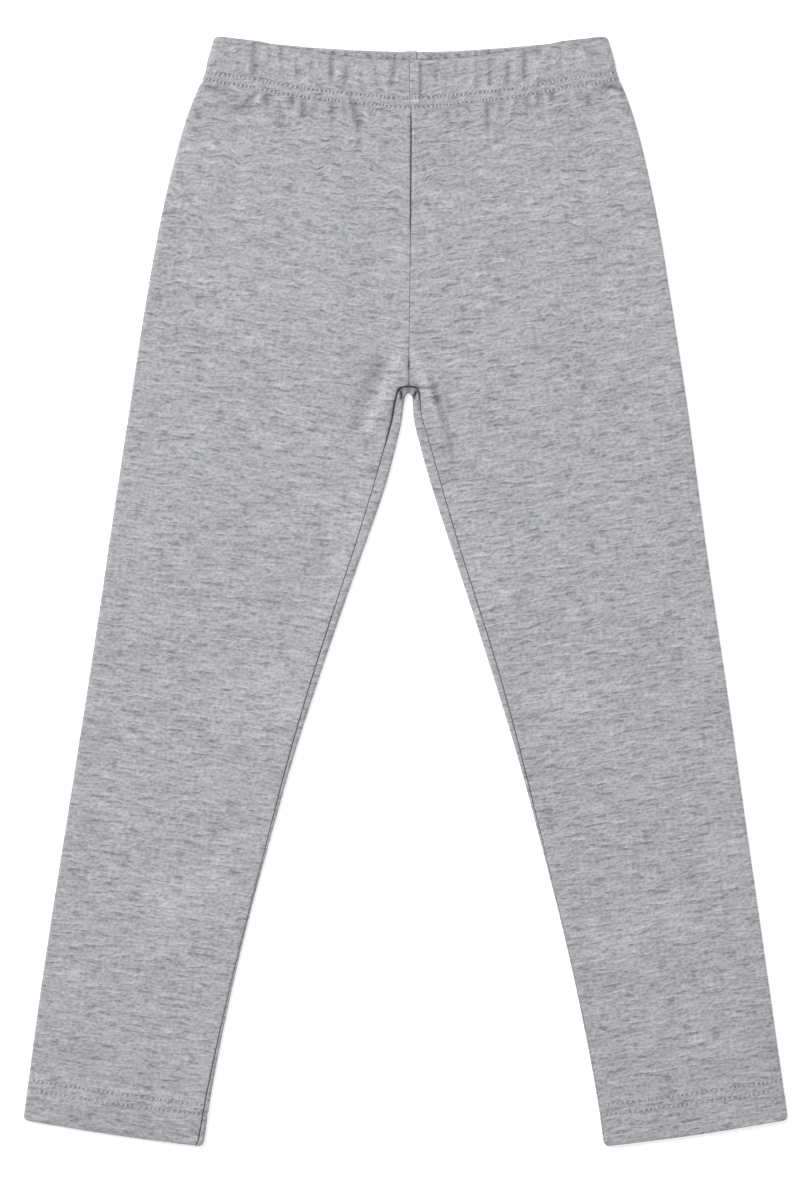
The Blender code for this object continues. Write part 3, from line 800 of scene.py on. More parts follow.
def leg_line(leg, drop, turn=math.pi, extra=0.0):
    """A line across the leg below the fork, at a drop of its inner edge."""
    above = HEM_DROP - drop
    inner = CENTRE + along(INNER_EDGE, drop) + corner(above, HEM_CORNER)
    side_drop = drop - along(LINE_RISE, drop)
    fold = point(inner, drop)
    side = point(side_half(leg, side_drop) - corner(above, HEM_CORNER), side_drop)
    inset = along(INSEAM, drop, leg.column)
    return forked_line(fold, side, unit(side, fold), inset, above, turn, extra)


def turned_extra(turn, half):
    """Cloth taken up by a turned edge beyond its progress in plan, at an angle round it."""
    return half * (turn - math.sin(turn))


def casing_lines(leg):
    """From the raw edge inside the casing, over the top, and down to the casing's base."""
    half = CASING_HALF_WALL
    top_sewing = (CASING_HEIGHT - CASING_ROWS[0]) / (CASING_ROWS[1] - CASING_ROWS[0])
    lines = []
    for share in np.linspace(1, 0, INNER_CASING_LINES, endpoint=False) ** INNER_GRADING:
        down = mix(half, CASING_TURNED_IN, share)
        extra = -math.pi * half - 2 * (down - half)
        lines.append(waist_line(leg, down - CASING_HEIGHT, 0.0, extra, top_sewing))
    for turn in np.linspace(0, math.pi, TURN_LINES):
        down = half * (1 - math.sin(turn))
        extra = -turned_extra(math.pi - turn, half)
        lines.append(waist_line(leg, down - CASING_HEIGHT, turn, extra, top_sewing))
    for down in np.linspace(half, CASING_HEIGHT, CASING_LINES)[1:]:
        lines.append(waist_line(leg, down - CASING_HEIGHT))
    return lines


def hem_lines(leg):
    """Down to the hem edge, round it, and up inside to the raw edge."""
    half = HEM_HALF_WALL
    lines = []
    for above in np.linspace(HEM_ZONE, half, HEM_LINES):
        lines.append(leg_line(leg, HEM_DROP - above))
    for turn in np.linspace(math.pi, 0, TURN_LINES)[1:]:
        drop = HEM_DROP - half * (1 - math.sin(turn))
        lines.append(leg_line(leg, drop, turn, turned_extra(math.pi - turn, half)))
    for above in np.linspace(half, HEM_TURNED_UP, INNER_HEM_LINES + 1)[1:]:
        extra = math.pi * half + 2 * (above - half)
        lines.append(leg_line(leg, HEM_DROP - above, 0.0, extra))
    return lines


def cloth_lines(leg):
    """Every line of a leg's sheet with the columns it carries."""
    reach = FORK_SEAM_DROP - casing_drop(0, 0, True)
    casing = casing_lines(leg)
    turned_in, dense = casing[:INNER_CASING_LINES], casing[INNER_CASING_LINES:]
    dense += [waist_line(leg, below) for below in np.linspace(0, PUCKER_RUN, PUCKER_LINES)[1:]]
    hips = np.linspace(PUCKER_RUN, reach, HIP_LINES, endpoint=False)[1:]
    plain = [waist_line(leg, below) for below in hips]
    wrapped = [fork_line(leg, share) for share in np.linspace(0, 1, FORK_LINES)]
    length = HEM_DROP - HEM_ZONE - FORK_ARC_DROP
    for k in range(1, LEG_LINES):
        drop = FORK_ARC_DROP + length * (k / LEG_LINES) ** LEG_GRADING
        wrapped.append(leg_line(leg, drop))
    wrapped += hem_lines(leg)
    return (
        [(line, TURNED_IN) for line in turned_in]
        + [(line, DENSE) for line in dense]
        + [(line, PLAIN) for line in plain]
        + [(line, WRAPPED) for line in wrapped]
    )


# Places along a line


def from_seam(length, radius, count):
    """Runs from a seam and dips into it, of the columns round its rolled edge and beyond."""
    turn = np.linspace(0, math.pi / 2, ROLL_COLUMNS)
    shares = np.linspace(0, 1, count + 1)[1:]
    runs = np.concatenate([[0.0], radius * (1 - np.cos(turn)), mix(radius, length, shares)])
    dips = np.concatenate([[radius + SEAM_FLANGE], radius * (1 - np.sin(turn)), 0 * shares])
    return runs, dips


def to_seam(length, radius, count):
    """The same on the way to a seam, without the column that the part before it ends in."""
    return [values[-2::-1] for values in from_seam(length, radius, count)]


def row_press(sewing):
    """How far twin rows of stitching pull the cloth in."""
    rows = [math.exp(-(((sewing - row) / ROW_SPREAD) ** 2)) for row in (0, 1)]
    return ROW_PRESS * sum(rows)


def pressed(line, places, press, lift=0.0):
    """Places and depths of cloth, pressed in with its inner side or lifted clear of it."""
    depths = line.half * 2 * inside(line) + press * mix(1.0, INNER_PRESS, inside(line))
    depths = depths + lift * math.cos(line.turn)
    shift = (press * EDGE_PRESS - lift) * math.sin(line.turn)
    return places + np.outer(shift, line.inward), depths


def inside(line):
    """1 inside the casing or the hem, 0 on the outside of the cloth."""
    return (1 + math.cos(line.turn)) / 2


def hollows(line, gathers, creases, dips):
    """How much shade is painted where cloth lies below its level or dips into a seam, light where
    it rises, and shade near the hem and inside the casing and hems.
    """
    shade = np.clip(gathers / GATHER_DEPTH + creases / CREASE_DEPTH, *HOLLOW_RANGE)
    shade = shade + HEM_SHADE * line.bow / HEM_BOW
    return shade + dips / SEAM_DEPTH + INSIDE_SHADE * inside(line)


def top_edge_shade(below_edge):
    """Shade painted on either side of the front's top edge, at distances below it."""
    return TOP_EDGE_SHADE * np.exp(-((below_edge / TOP_EDGE_REACH) ** 2))


def round_fold(line, centre, out, angles, dips):
    """Points round a folded edge, from its underside (-90 degrees) to its top (90)."""
    press = dips + row_press(line.sewing)
    centres, depths = pressed(line, np.tile(centre, (len(angles), 1)), press)
    reach = line.loft / 2 - depths
    flat = centres + np.outer(np.cos(angles) * reach, out)
    # painted shade where the fold dips into a seam and inside the casing and hems
    shade = hollows(line, 0, 0, dips)
    return np.column_stack([flat, line.loft / 2 + np.sin(angles) * reach, shade])


def on_top(leg, line, places, across, dips):
    """Points of the front cloth."""
    fold = line.fold if line.fold is not None else point(CENTRE, FORK_FOLD_DROP)
    edges = ease(away(places, fold) / SINK_RUN) * ease(away(places, line.side) / SINK_RUN)
    soft = unevenness(places[:, 0] / RELIEF_ACROSS, places[:, 1] / RELIEF_DOWN, leg.seed)
    gathers = pucker_press(leg, line, across)
    creases = -crease_height(leg.creases, *places.T)
    # painted shade in gathers, creases, seams and along the top edge, and painted light on ridges
    shade = hollows(line, gathers, creases, dips) + top_edge_shade(CASING_HEIGHT + line.below)
    press = dips + row_press(line.sewing) + gathers + creases
    press += (line.sink - RELIEF * soft) * edges
    places, depths = pressed(line, places, press, turnings(leg, line, across))
    return np.column_stack([places, line.loft - depths, shade])


def underneath(leg, line, places, across, dips):
    """Points of the back cloth, which lifts off the table only where it is creased."""
    other = behind(leg)
    gathers = pucker_press(other, line, across)
    if line.below < 0:
        down = np.full(len(across), line.below)
        gathers -= crease_height(leg.marks, across, down) * inside(line) / INNER_PRESS
    creases = -crease_height(other.creases, *places.T)
    # painted shade in the back's gathers, creases and seams, and where the front's top edge
    # overhangs it
    shade = hollows(line, gathers, creases, dips)
    if line.below < 0:
        edge = FRONT_TOP_DIP * bowed(across / across.max() / FRONT_TOP_SPREAD)
        shade += top_edge_shade(CASING_HEIGHT + line.below - edge) * inside(line)
    press = dips + row_press(line.sewing) + np.maximum(gathers + creases, 0)
    places, depths = pressed(line, places, press, turnings(other, line, across))
    return np.column_stack([places, depths, shade])


def pucker_press(leg, line, across):
    """How far the gathers press in along a line."""
    if line.below > PUCKER_RUN + RIPPLE_RUN:
        return np.zeros(len(across))
    down = np.full(len(across), line.below)
    fade = float(1 - ease(line.below / RIPPLE_RUN))
    ripple = unevenness(across / RIPPLE_ACROSS, down / RIPPLE_DOWN, leg.seed + RIPPLE_SEED)
    return PUCKER_DEPTH * (RIPPLE * fade * ripple - crease_height(leg.puckers, across, down))


def turnings(leg, line, across):
    """How far a centre seam's turnings, folded to one side, lift the casing over them."""
    if leg.side < 0:
        return np.zeros(len(across))
    held = float(ease((line.below + CASING_ROWS[1]) / -CASING_ROWS[0]))
    return held * ALLOWANCE_LIFT * (1 - ease((across - ALLOWANCE_WIDTH) / ALLOWANCE_STEP))


def seam_run(line):
    """Length of cloth from the inner edge, over the top, to the inseam."""
    radius = line.loft / 2
    if line.inset < radius:
        return radius * math.acos(1 - line.inset / radius)
    return radius * math.pi / 2 + line.inset - radius


def sagged(line, places, shares, front):
    """Places moved by as much as the casing's base or the hem bows from a straight line."""
    height = max(-line.below, 0.0)
    straight = mix(casing_drop(0, height, front), casing_drop(1, height, front), shares)
    bow = line.sag * (casing_drop(shares, height, front) - straight)
    bow = bow + line.bow * 4 * shares * (1 - shares)
    return np.column_stack([places[:, 0], places[:, 1] + bow])


def front_points(leg, line, count, side_centre, roll, gap):
    """Columns of the front, from the centre front seam or the inseam, out to the side."""
    radius = line.loft / 2
    quarter = radius * math.pi / 2
    first = seam_run(line) + gap
    if line.fold is None or first >= quarter:
        out = point(-1, 0) if line.out is None else line.out
        start = line.seam - out * gap
        runs, dips = from_seam(math.dist(start, side_centre), roll, count)
        shares = runs / runs[-1]
        places = sagged(line, start + np.outer(shares, side_centre - start), shares, True)
        return on_top(leg, line, places, runs, dips)
    length = quarter + math.dist(line.back, side_centre) - first
    runs, dips = from_seam(length, roll, count)
    past = runs + first - quarter
    shares = np.maximum(past, 0) / past[-1]
    places = line.back + np.outer(shares, side_centre - line.back)
    top = on_top(leg, line, sagged(line, places, shares, True), runs, dips)
    fold = round_fold(line, line.back, line.out, (past + quarter) / radius, dips)
    return np.where((past < 0)[:, None], fold, top)


def back_points(leg, line, count, side_centre, roll):
    """Columns of the back, in order from the side, to the centre back seam or inner fold."""
    length = math.dist(line.back, side_centre)
    if line.fold is None:
        runs, dips = to_seam(length, roll, count)
    else:
        runs = length * (1 - np.arange(1, count + 1) / count)
        dips = np.zeros(count)
    shares = runs / length
    places = line.back + np.outer(shares, side_centre - line.back)
    return underneath(leg, line, sagged(line, places, shares, False), runs, dips)


def wrap_points(leg, line, count, roll, gap, dip):
    """Columns from the back, round the inner fold and over the top, to the inseam."""
    radius = line.loft / 2
    quarter = radius * math.pi / 2
    length = quarter + seam_run(line) - gap
    runs, dips = to_seam(length, roll, count)
    dips = dips + dip
    past = length - runs - 2 * quarter
    fold = round_fold(line, line.back, line.out, past / radius + math.pi / 2, dips)
    places = line.back - np.outer(np.maximum(past, 0), line.out)
    top = on_top(leg, line, places, np.zeros(len(places)), dips)
    return np.where((past < 0)[:, None], fold, top)


def column_ids(spread):
    """Numbers that match the columns of one line with the next: front 0 to 1, side to 2,
    back to 3 and wrap to 4, each rolled edge within a hundredth of its end."""
    roll = np.arange(ROLL_COLUMNS + 1) / 1000
    flat = 1 - ROLL_NUMBERS
    front = ROLL_NUMBERS + flat * np.linspace(0, 1, spread.front + 1)[1:]
    turn = 1 + np.linspace(0, 1, spread.turn + 2)[1:]
    last = 4 if spread.wrap else 3
    inner = spread.wrap or spread.back
    end = last - 1 + flat * np.linspace(0, 1, inner + 1)[1:-1]
    ids = [roll, front, turn, end, last - ROLL_NUMBERS + roll]
    if spread.wrap:
        ids.insert(3, 2 + flat * np.linspace(0, 1, spread.back + 1)[1:])
    return np.concatenate(ids)


def placed_shade(leg, places):
    """The shade painted round the fork and that of the leg's own table, where negative amounts are
    painted light.
    """
    wide, deep = FORK_SHADE_REACH
    far = np.hypot(places[:, 0] / wide, (places[:, 1] - FORK_SHADE_AT) / deep)
    return FORK_SHADE * np.exp(-(far**2)) + crease_height(leg.shades, *places[:, :2].T)


def strand(leg, line, spread, roll_radius):
    """All the points of a line, with their run round the leg from the side fold."""
    radius = line.loft / 2
    outward = unit(line.back, line.side)
    side_centre = line.side - outward * radius
    share = along(SEAM_ROLL, line.seam[1], leg.column)
    roll, gap = roll_radius * share, CENTRE + SEAM_OPEN * share**2
    angles = math.pi / 2 * (1 - 2 * np.linspace(0, 1, spread.turn + 2)[1:])
    parts = [
        front_points(leg, line, spread.front, side_centre, roll, gap),
        round_fold(line, side_centre, outward, angles, 0 * angles),
        back_points(leg, line, spread.back, side_centre, roll),
    ]
    if spread.wrap:
        past_seams = (line.seam[1] - FORK_SEAM_DROP) / FORK_SEAM_DIP_RUN
        dip = FORK_SEAM_DIP * float(1 - ease(past_seams))
        parts.append(wrap_points(leg, line, spread.wrap, roll, gap, dip))
    points = np.concatenate(parts)
    places, painted_shade = points[:, :3], points[:, 3]
    steps = np.linalg.norm(np.diff(places, axis=0), axis=1)
    run = np.concatenate([[0.0], np.cumsum(steps)])
    middle = len(parts[0]) + spread.turn // 2
    ids = column_ids(spread)
    drift = along(SEAM_DRIFT, line.seam[1], 1), along(SEAM_DRIFT, line.back[1], 2)
    # painted shade round the fork and in the leg's own pockets, on the front and the wrap
    painted_shade = painted_shade + placed_shade(leg, places) * ((ids < MID_FOLD) | (ids > WRAP))
    near_seam = 1 - ease(places[:, 0] / DRIFT_SPREAD)
    places[:, 0] += leg.side * near_seam * np.where(ids < MID_FOLD, *drift)
    ply = np.ones(len(ids))
    ply[: ROLL_COLUMNS + 1] = ply[-ROLL_COLUMNS - 1 :] = ROLLED_PLY
    return Strand(places, run[middle] - run, ids, ply, painted_shade)


# Meshes


def placed(points, leg):
    """From plan to world: the leg leans out a little more or less below the fork."""
    share = np.clip((points[:, 1] - LEAN_START) / (HEM_DROP - LEAN_START), 0, 1)
    lean = leg.lean * np.sin(share * math.pi / 2)
    x = SEAM_X + leg.side * (points[:, 0] + lean)
    return np.column_stack([x, TOP_Y - points[:, 1], np.maximum(points[:, 2], 0.0)])


def strip_faces(upper, lower):
    """Faces between two lines of (ids, first index), matching columns as they come."""
    last = min(upper[0][-1], lower[0][-1])
    above = [(i, upper[1] + k) for k, i in enumerate(upper[0]) if i <= last]
    below = [(i, lower[1] + k) for k, i in enumerate(lower[0]) if i <= last]
    faces = []
    i = j = 0
    while i < len(above) - 1 or j < len(below) - 1:
        next_above = above[i + 1][0] if i < len(above) - 1 else math.inf
        next_below = below[j + 1][0] if j < len(below) - 1 else math.inf
        face = [above[i][1], below[j][1]]
        if next_below <= next_above:
            j += 1
            face.append(below[j][1])
        if next_above <= next_below:
            i += 1
            face.append(above[i][1])
        faces.append(face)
    return faces


def add_uv(mesh, name, values):
    """A UV map from one pair of numbers per vertex."""
    layer = mesh.uv_layers.new(name=name)
    corners = np.empty(len(mesh.loops), dtype=np.int32)
    mesh.loops.foreach_get("vertex_index", corners)
    layer.data.foreach_set("uv", values[corners].astype(np.float32).ravel())


def new_piece(name, mesh, material):
    mesh.materials.append(material)
    piece = bpy.data.objects.new(name, mesh)
    bpy.context.scene.collection.objects.link(piece)
    return piece


def thicken(piece, shares, thickness):
    """Gives a skin its thickness, or the share of it that its rolled edges have."""
    group = piece.vertex_groups.new(name="ply")
    for share in (1.0, ROLLED_PLY):
        group.add(np.flatnonzero(shares == share).tolist(), share, "REPLACE")
    wall = piece.modifiers.new("ply", "SOLIDIFY")
    wall.thickness = thickness
    wall.offset = -1.0
    wall.vertex_group = group.name
    bpy.ops.object.select_all(action="DESELECT")
    bpy.context.view_layer.objects.active = piece
    piece.select_set(True)
    bpy.ops.object.modifier_apply(modifier=wall.name)


def leg_sheet(leg, sizes, material):
    """A leg's cloth, as a skin that is then given its thickness."""
    lines, spreads = zip(*cloth_lines(leg))
    strands = [strand(leg, *pair, sizes.seam_roll) for pair in zip(lines, spreads)]
    counts = [len(one.ids) for one in strands]
    columns = [(one.ids, first) for one, first in zip(strands, np.cumsum([0] + counts))]
    faces = [face for pair in zip(columns, columns[1:]) for face in strip_faces(*pair)]
    if leg.side < 0:
        faces = [face[::-1] for face in faces]
    plan, run, _, ply, painted_shade = [np.concatenate(values) for values in zip(*strands)]
    extra = np.repeat([line.extra for line in lines], counts)
    sewing = np.repeat([line.sewing for line in lines], counts)
    down = plan[:, 1] + COURSE_SLOPE * plan[:, 0] + extra
    mesh = bpy.data.meshes.new(f"{leg.name}_leg_cloth")
    mesh.from_pydata(placed(plan, leg).tolist(), [], faces)
    add_uv(mesh, "cloth", np.column_stack([run + leg.side * PATTERN_APART, down]))
    below_fork = plan[:, 1] > FORK_FOLD_DROP
    add_uv(mesh, "sewing", np.column_stack([stitch_run(run, sewing, below_fork), sewing]))
    pitted = np.where(below_fork, HEM_PITS, 1.0)
    # the painted shade of each point, and how deep its needle holes are
    add_uv(mesh, "hollows", np.column_stack([painted_shade, pitted]))
    mesh.shade_smooth()
    piece = new_piece(f"leg_{leg.name}_cloth", mesh, material)
    thicken(piece, ply, sizes.ply)
    return piece


# Stitching


def stitch_profile(sizes):
    """Place along, rise and half width of each ring of a stitch, which dives at both ends."""
    for t in np.linspace(-1, 1, STITCH_RINGS):
        plump = math.sqrt(1 - STITCH_TAPER * t * t)
        rise = sizes.thread * (STITCH_LIFT - STITCH_DIVE * t * t)
        yield t * sizes.stitch_height / 2, rise, plump


def model_stitch(sizes):
    """One plump upright stitch at the origin, as its points and faces."""
    bpy.ops.object.select_all(action="DESELECT")
    rings = list(stitch_profile(sizes))
    place, rise, plump = rings[0]
    bpy.ops.mesh.primitive_circle_add(
        vertices=STITCH_SIDES, radius=plump * sizes.thread / 2, fill_type="NGON",
        location=(0, place, rise), rotation=(math.pi / 2, 0, 0),
    )
    stitch = bpy.context.object
    bpy.ops.object.transform_apply(location=True, rotation=True, scale=True)
    bpy.ops.object.mode_set(mode="EDIT")
    bpy.ops.mesh.select_all(action="SELECT")
    bpy.ops.transform.resize(value=(1.0, 1.0, STITCH_FLATNESS))
    for before, after in zip(rings, rings[1:]):
        step = (0, after[0] - before[0], after[1] - before[1])
        bpy.ops.mesh.extrude_region_move(TRANSFORM_OT_translate={"value": step})
        grow = after[2] / before[2]
        bpy.ops.transform.resize(value=(grow, 1.0, grow))
    bpy.ops.mesh.select_all(action="SELECT")
    bpy.ops.transform.rotate(value=STITCH_LEAN, orient_axis="Z", center_override=(0, 0, 0))
    bpy.ops.mesh.normals_make_consistent(inside=False)
    bpy.ops.object.mode_set(mode="OBJECT")
    points = np.array([vertex.co[:] for vertex in stitch.data.vertices])
    faces = sorted(from_lowest(list(face.vertices)) for face in stitch.data.polygons)
    mesh = stitch.data
    bpy.data.objects.remove(stitch)
    bpy.data.meshes.remove(mesh)
    return points, faces


def from_lowest(corners):
    """A face's corners in their own order, from the lowest number on."""
    first = corners.index(min(corners))
    return corners[first:] + corners[:first]


def stitch_run(run, row, hem):
    """The run along the rows in even stitches, which vary in pitch in the cloth."""
    spots = run / STITCH_WANDER_OVER, np.broadcast_to(row * ROW_APART, run.shape)
    wander = STITCH_WANDER * unevenness(*spots, WANDER_SEED)
    return (run + wander) * np.where(hem, HEM_STITCHES, 1.0)


def row_frames(leg, near, spread, sizes):
    """Places and axes of the stitches of a row, from lines just above, on and below it."""
    strands = [strand(leg, line, spread, sizes.seam_roll) for line in near]
    worlds = [placed(one.places, leg) for one in strands]
    run = -stitch_run(strands[1].along, near[1].sewing, near[1].fold is not None)
    inner = strands[1].ply == 1.0
    pitch = sizes.stitch_pitch
    steps = np.arange(math.ceil(run[inner][0] / pitch), math.floor(run[inner][-1] / pitch) + 1)
    at = steps * pitch

    def sample(values):
        return np.column_stack([np.interp(at, run, values[:, axis]) for axis in range(3)])

    along_row = sample(np.gradient(worlds[1], axis=0))
    across = sample(worlds[0] - worlds[2])
    normal = np.cross(along_row, across) * leg.side
    axes = [unit_rows(along_row), None, unit_rows(normal)]
    axes[1] = np.cross(axes[2], axes[0])
    return sample(worlds[1]), np.stack(axes, axis=1)


def unit_rows(vectors):
    return vectors / np.linalg.norm(vectors, axis=1, keepdims=True)


def stitching(name, rows, sizes, material):
    """A joined mesh of all the stitches of some rows, each a little different in size."""
    stitch, stitch_faces = model_stitch(sizes)
    points, faces, turns = [], [], []
    count = 0
    for places, axes in rows:
        for place, axis in zip(places, axes):
            spots = [Vector((count * STITCH_SEED, k, 0.5)) for k in VARY_SEEDS]
            wide, tall, lean = [noise.noise(spot) for spot in spots]
            shape = stitch * (1 + STITCH_VARIES * (wide, tall, wide))
            shape[:, 0] += shape[:, 1] * lean * LEAN_VARIES
            points.append(place + shape @ axis)
            faces += [[index + count for index in face] for face in stitch_faces]
            turns.append(np.column_stack([stitch[:, 1], np.full(len(stitch), count)]))
            count += len(stitch)
    mesh = bpy.data.meshes.new(name)
    mesh.from_pydata(np.concatenate(points).tolist(), [], faces)
    add_uv(mesh, "thread", np.concatenate(turns))
    mesh.shade_smooth()
    return new_piece(name, mesh, material)


def sewn_rows(leg, line_at, places, spread, sizes):
    """The stitches of each row, from the line at its place and one on either side of it."""
    steps = (-STITCH_STEP, 0, STITCH_STEP)
    return [
        row_frames(leg, [line_at(leg, place + step) for step in steps], spread, sizes)
        for place in places
    ]


def casing_rows(leg, sizes):
    return sewn_rows(leg, waist_line, [-height for height in CASING_ROWS], DENSE, sizes)


def hem_rows(leg, sizes):
    return sewn_rows(leg, leg_line, [HEM_DROP - above for above in HEM_ROWS], WRAPPED, sizes)


# Materials


class Wire:
    """A node's output that joins in sums: each operator adds a Math node."""

    def __init__(self, shading, socket):
        self.shading = shading
        self.socket = socket

    def math(self, operation, *values):
        sockets = dict(enumerate(values))
        return self.shading.node("Math", {"operation": operation}, sockets)

    def __add__(self, other):
        return self.math("ADD", self, other)

    __radd__ = __add__

    def __sub__(self, other):
        return self.math("SUBTRACT", self, other)

    def __rsub__(self, other):
        return self.math("SUBTRACT", other, self)

    def __mul__(self, other):
        return self.math("MULTIPLY", self, other)

    __rmul__ = __mul__

    def __truediv__(self, other):
        return self.math("DIVIDE", self, other)

    def __abs__(self):
        return self.math("ABSOLUTE", self)

    def __gt__(self, other):
        return self.math("GREATER_THAN", self, other)

    def root(self):
        return self.math("SQRT", self)

    def fraction(self):
        return self.math("FRACT", self)


class Shading:
    """A material and the nodes that make it."""

    def __init__(self, name):
        self.material = bpy.data.materials.new(name)
        self.material.use_nodes = True
        self.tree = self.material.node_tree
        self.surface = self.tree.nodes["Principled BSDF"]

    def node(self, kind, settings=None, sockets=None, output=0):
        """A node of a type, its settings, then the values or links of its sockets."""
        made = self.tree.nodes.new(f"ShaderNode{kind}")
        for name, value in (settings or {}).items():
            setattr(made, name, value)
        for key, value in (sockets or {}).items():
            self.feed(made.inputs[key], value)
        return Wire(self, made.outputs[output])

    def feed(self, socket, value):
        if isinstance(value, Wire):
            self.tree.links.new(value.socket, socket)
        else:
            socket.default_value = value

    def finish(self, sockets):
        """Sets the surface's own sockets."""
        for key, value in sockets.items():
            self.feed(self.surface.inputs[key], value)
        return self.material

    def uv(self, name):
        """The two numbers of a UV map."""
        vector = self.node("UVMap", {"uv_map": name})
        return [self.node("SeparateXYZ", sockets={0: vector}, output=k) for k in (0, 1)]

    def noise(self, across, down, detail=2.0, roughness=0.5):
        """2D noise, 0 to 1, of sums that place a spot in the pattern."""
        vector = self.node("CombineXYZ", sockets={0: across, 1: down})
        sockets = {"Vector": vector, "Scale": 1.0, "Detail": detail, "Roughness": roughness}
        return self.node("TexNoise", {"noise_dimensions": "2D"}, sockets)

    def smooth(self, value, low, high):
        """0 to 1 as a value goes from low to high, with flat ends."""
        sockets = {"Value": value, 1: low, 2: high}
        return self.node("MapRange", {"interpolation_type": "SMOOTHSTEP"}, sockets)

    def dashes(self, across, down, dash):
        """1 on short streaks of fibre along the courses, here and there."""
        spot = across / dash.length + dash.seed, down / dash.width + dash.seed * DASH_DRIFT
        return self.smooth(self.noise(*spot, DASH_DETAIL), dash.low, dash.high)

    def blend(self, share, first, second, kind="MIX"):
        """Two colours mixed."""
        settings = {"data_type": "RGBA", "blend_type": kind}
        return self.node("Mix", settings, {0: share, 6: first, 7: second}, output=2)

    def scaled(self, colour, share):
        """A colour made darker or lighter."""
        return self.node("VectorMath", {"operation": "SCALE"}, {0: colour, "Scale": share})


def twin_rows(shade, sizes, run, row):
    """How deep a place lies in a row's groove, and in a hole between its stitches, for the shade
    painted there.
    """
    spacing = CASING_ROWS[1] - CASING_ROWS[0]
    aside = (row - (row > 0.5)) * spacing
    uneven = shade.noise(run / GROOVE_RUN, row * ROW_SHIFT)
    groove = 1 - shade.smooth(abs(aside - GROOVE_SHIFT), 0.0, GROOVE_REACH)
    least, most = GROOVE_DEPTHS
    groove = groove * (shade.smooth(uneven, *GROOVE_RANGE) * (most - least) + least)
    cell = ((run / sizes.stitch_pitch).fraction() - 0.5) * sizes.stitch_pitch
    cell = cell / PIT_LENGTH
    stray = shade.noise(run / PIT_STRAY_RUN, row * ROW_SHIFT + PIT_SEED) - 0.5
    aside = (aside + stray * PIT_STRAY) / PIT_WIDTH
    pit = 1 - shade.smooth((cell * cell + aside * aside).root(), *PIT_EDGE)
    return groove, pit * shade.smooth(uneven, *PIT_RANGE)


def jersey(sizes, colours):
    """Grey marl jersey: short light and dark fibres along the courses, raised and brushed, with
    shade and light painted into its colour.
    """
    shade = Shading("grey_marl_jersey")
    across, down = shade.uv("cloth")
    run, row = shade.uv("sewing")
    painted_shade, pitted = shade.uv("hollows")
    gathered = (row > 0.0) * (pitted > (1 + HEM_PITS) / 2)
    across = across * (gathered * (CASING_FULLNESS - 1) + 1)
    bends = []
    for wave in WAVES:
        bend = shade.noise(across / wave.across, down / wave.down, wave.detail) - 0.5
        low = shade.smooth(down, wave.start, wave.end)
        bends.append(bend * (low * (wave.low - wave.high) + wave.high))
    down = down + sum(bends) * (1 - gathered * GATHERED_CALM)
    tone, height = 0.5, 0.0
    for marl in MARL:
        spot = across / marl.length + marl.seed, down / marl.width + marl.seed * MARL_DRIFT
        fibres = shade.noise(*spot, marl.detail) - 0.5
        tone = fibres * (marl.tone * colours.marl_contrast) + tone
        height = fibres * (marl.relief * sizes.nap) + height
    for dash in DASHES:
        streak = shade.dashes(across, down, dash)
        tone = streak * (dash.tone * colours.marl_contrast) + tone
        height = streak * (dash.relief * sizes.nap) + height
    tone = (tone - 0.5) * (1 - gathered * CASING_FADED) + 0.5
    colour = shade.blend(tone, tuple(colours.marl_dark), tuple(colours.marl_light))
    wide, deep = TINT_SIZE
    tint = shade.smooth(shade.noise(across / wide, down / deep, 1.0), *TINT_RANGE)
    colour = shade.blend(1.0, colour, shade.blend(tint, WARM_TINT, COOL_TINT), "MULTIPLY")
    groove, pits = twin_rows(shade, sizes, run, row)
    pits = pits * pitted
    # painted shade along the rows' grooves
    painted_shade = groove * GROOVE_SHADE + painted_shade
    # the painted shade darkens the colour, and painted light below zero lightens it
    colour = shade.scaled(colour, 1 - painted_shade * HOLLOW_SHADE)
    # painted shade in the needle holes
    colour = shade.blend(pits * PIT_SHADE, colour, tuple(colours.marl_hole))
    relief = height + pits * PIT_RELIEF
    bump = shade.node("Bump", sockets={"Strength": 1.0, "Distance": 1.0, "Height": relief})
    return shade.finish({
        "Base Color": colour,
        "Roughness": 0.92,
        "Normal": bump,
        "Specular IOR Level": 0.2,
        "Sheen Weight": 0.12,
        "Sheen Roughness": 0.6,
    })


def sewing_thread(sizes, colours):
    """Soft bulked thread, with its twist as slanting plies."""
    shade = Shading("grey_thread")
    run, number = shade.uv("thread")
    shift = shade.noise(*[number * seed for seed in THREAD_SEEDS], 0.0)
    ply = abs((run / sizes.thread * THREAD_TWIST + shift).fraction() - 0.5) * 2
    dark = tuple(colours.marl_dark)
    colour = shade.blend(ply * PLY_SHADE, tuple(colours.thread), dark)
    colour = shade.blend(shade.smooth(shift, *THREAD_RANGE) * THREAD_SHADE, colour, dark)
    bump = shade.node("Bump", sockets={"Strength": 0.6, "Distance": 0.0001, "Height": ply})
    return shade.finish({
        "Base Color": colour,
        "Roughness": 0.75,
        "Normal": bump,
        "Specular IOR Level": 0.3,
    })


def light_table(colour):
    """A pale floor that glows a little from below."""
    return Shading("light_table").finish({
        "Base Color": tuple(colour),
        "Roughness": 0.9,
        "Emission Color": tuple(colour),
        "Emission Strength": FLOOR_GLOW,
    })


# The add-on


def length_property(name, description, default):
    return bpy.props.FloatProperty(
        name=name, description=description, default=default, min=0.0, unit="LENGTH", precision=5
    )


def colour_property(name, description, default):
    return bpy.props.FloatVectorProperty(
        name=name, description=description, default=(*default, 1.0), size=4, min=0.0, max=1.0,
        subtype="COLOR",
    )


